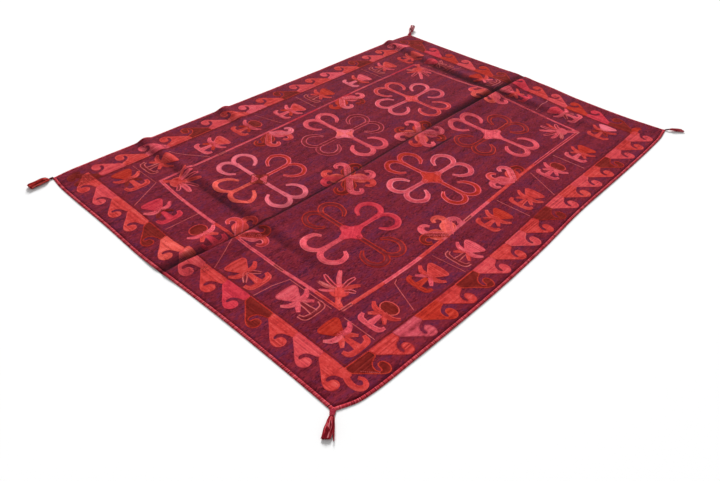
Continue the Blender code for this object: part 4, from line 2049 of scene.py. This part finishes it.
@dataclass(frozen=True)
class Studio:
    """A pale floor, soft light from behind on the right, and the camera.

    The light's angles are in degrees.
    """

    camera_place: Triple = (-2.009, -1.643, 1.575)
    right: Triple = (0.68333, -0.72929, 0.03466)
    up: Triple = (0.44311, 0.45198, 0.77419)
    back: Triple = (-0.58027, -0.51367, 0.63200)
    lens: float = 31.97
    floor_half: float = 20.0
    floor_colour: Colour = (0.88, 0.88, 0.88, 1)
    floor_roughness: float = 0.9
    sky_colour: Colour = (1.0, 1.0, 1.0, 1)
    sky: float = 0.44
    key: float = 5.1
    key_bearing: float = 48.0
    key_height: float = 25.0
    key_softness: float = 18.0

    def build(self) -> None:
        """Sets up floor, light and camera."""
        self.floor()
        self.lights()
        self.camera()

    def floor(self) -> None:
        """A large pale floor."""
        shape = bmesh.new()
        bmesh.ops.create_grid(shape, x_segments=1, y_segments=1, size=self.floor_half)
        mesh = mesh_of(shape, "floor")
        finish = NodeMaterial("pale floor", self.floor_roughness)
        finish.shader.inputs["Base Color"].default_value = self.floor_colour
        mesh.materials.append(finish.material)
        in_scene("floor", mesh)

    def lights(self) -> None:
        """An even sky and a low, soft key light from behind on the right."""
        world = bpy.data.worlds.new("studio")
        world.use_nodes = True
        glow = world.node_tree.nodes["Background"].inputs
        glow["Color"].default_value, glow["Strength"].default_value = self.sky_colour, self.sky
        bpy.context.scene.world = world
        data = bpy.data.lights.new("key", "SUN")
        data.energy = self.key
        data.angle = math.radians(self.key_softness)
        bearing, height = math.radians(self.key_bearing), math.radians(self.key_height)
        towards = Vector((math.cos(bearing) * math.cos(height), math.sin(bearing) * math.cos(height),
                          math.sin(height)))
        in_scene("key", data).rotation_euler = towards.to_track_quat("Z", "Y").to_euler()

    def camera(self) -> None:
        """The camera, standing near the near left corner."""
        data = bpy.data.cameras.new("camera")
        data.lens = self.lens
        camera = in_scene("camera", data)
        turn = Matrix((self.right, self.up, self.back)).transposed().to_4x4()
        camera.matrix_world = Matrix.Translation(Vector(self.camera_place) + FORM.centre) @ turn
        bpy.context.scene.camera = camera


# ---------------------------------------------------------------- the whole rug


def embroider(layer: StitchLayer) -> list[bpy.types.Object]:
    """Works every motif.

    Args:
        layer: copies the chain stitch.

    Returns:
        The embroidered pieces.
    """
    pieces = []
    for seed, (name, motif) in enumerate(MOTIFS.items(), 1):
        cloth = Needlework(layer, seed)
        motif.work(cloth)
        pieces.append(cloth.finish(name))
    return pieces


def main() -> None:
    """Builds and dresses the rug."""
    logging.basicConfig(level=logging.INFO, format="%(name)s %(message)s")
    bpy.context.scene.view_settings.view_transform = "Standard"
    Studio().build()
    ground = GroundSheet().build()
    stitches = StitchLayer(ChainStitch().build(), [dye.value.make() for dye in Dye])
    pieces = embroider(stitches)
    wraps = StitchLayer(Wrap().build(), [BINDING_YARN.make(), Dye.BRICK.value.make()])
    for side in SIDES:
        pieces.append(Binding(side).build(wraps))
    for tassel in TASSELS:
        pieces += tassel.build()


if __name__ == "__main__":
    main()
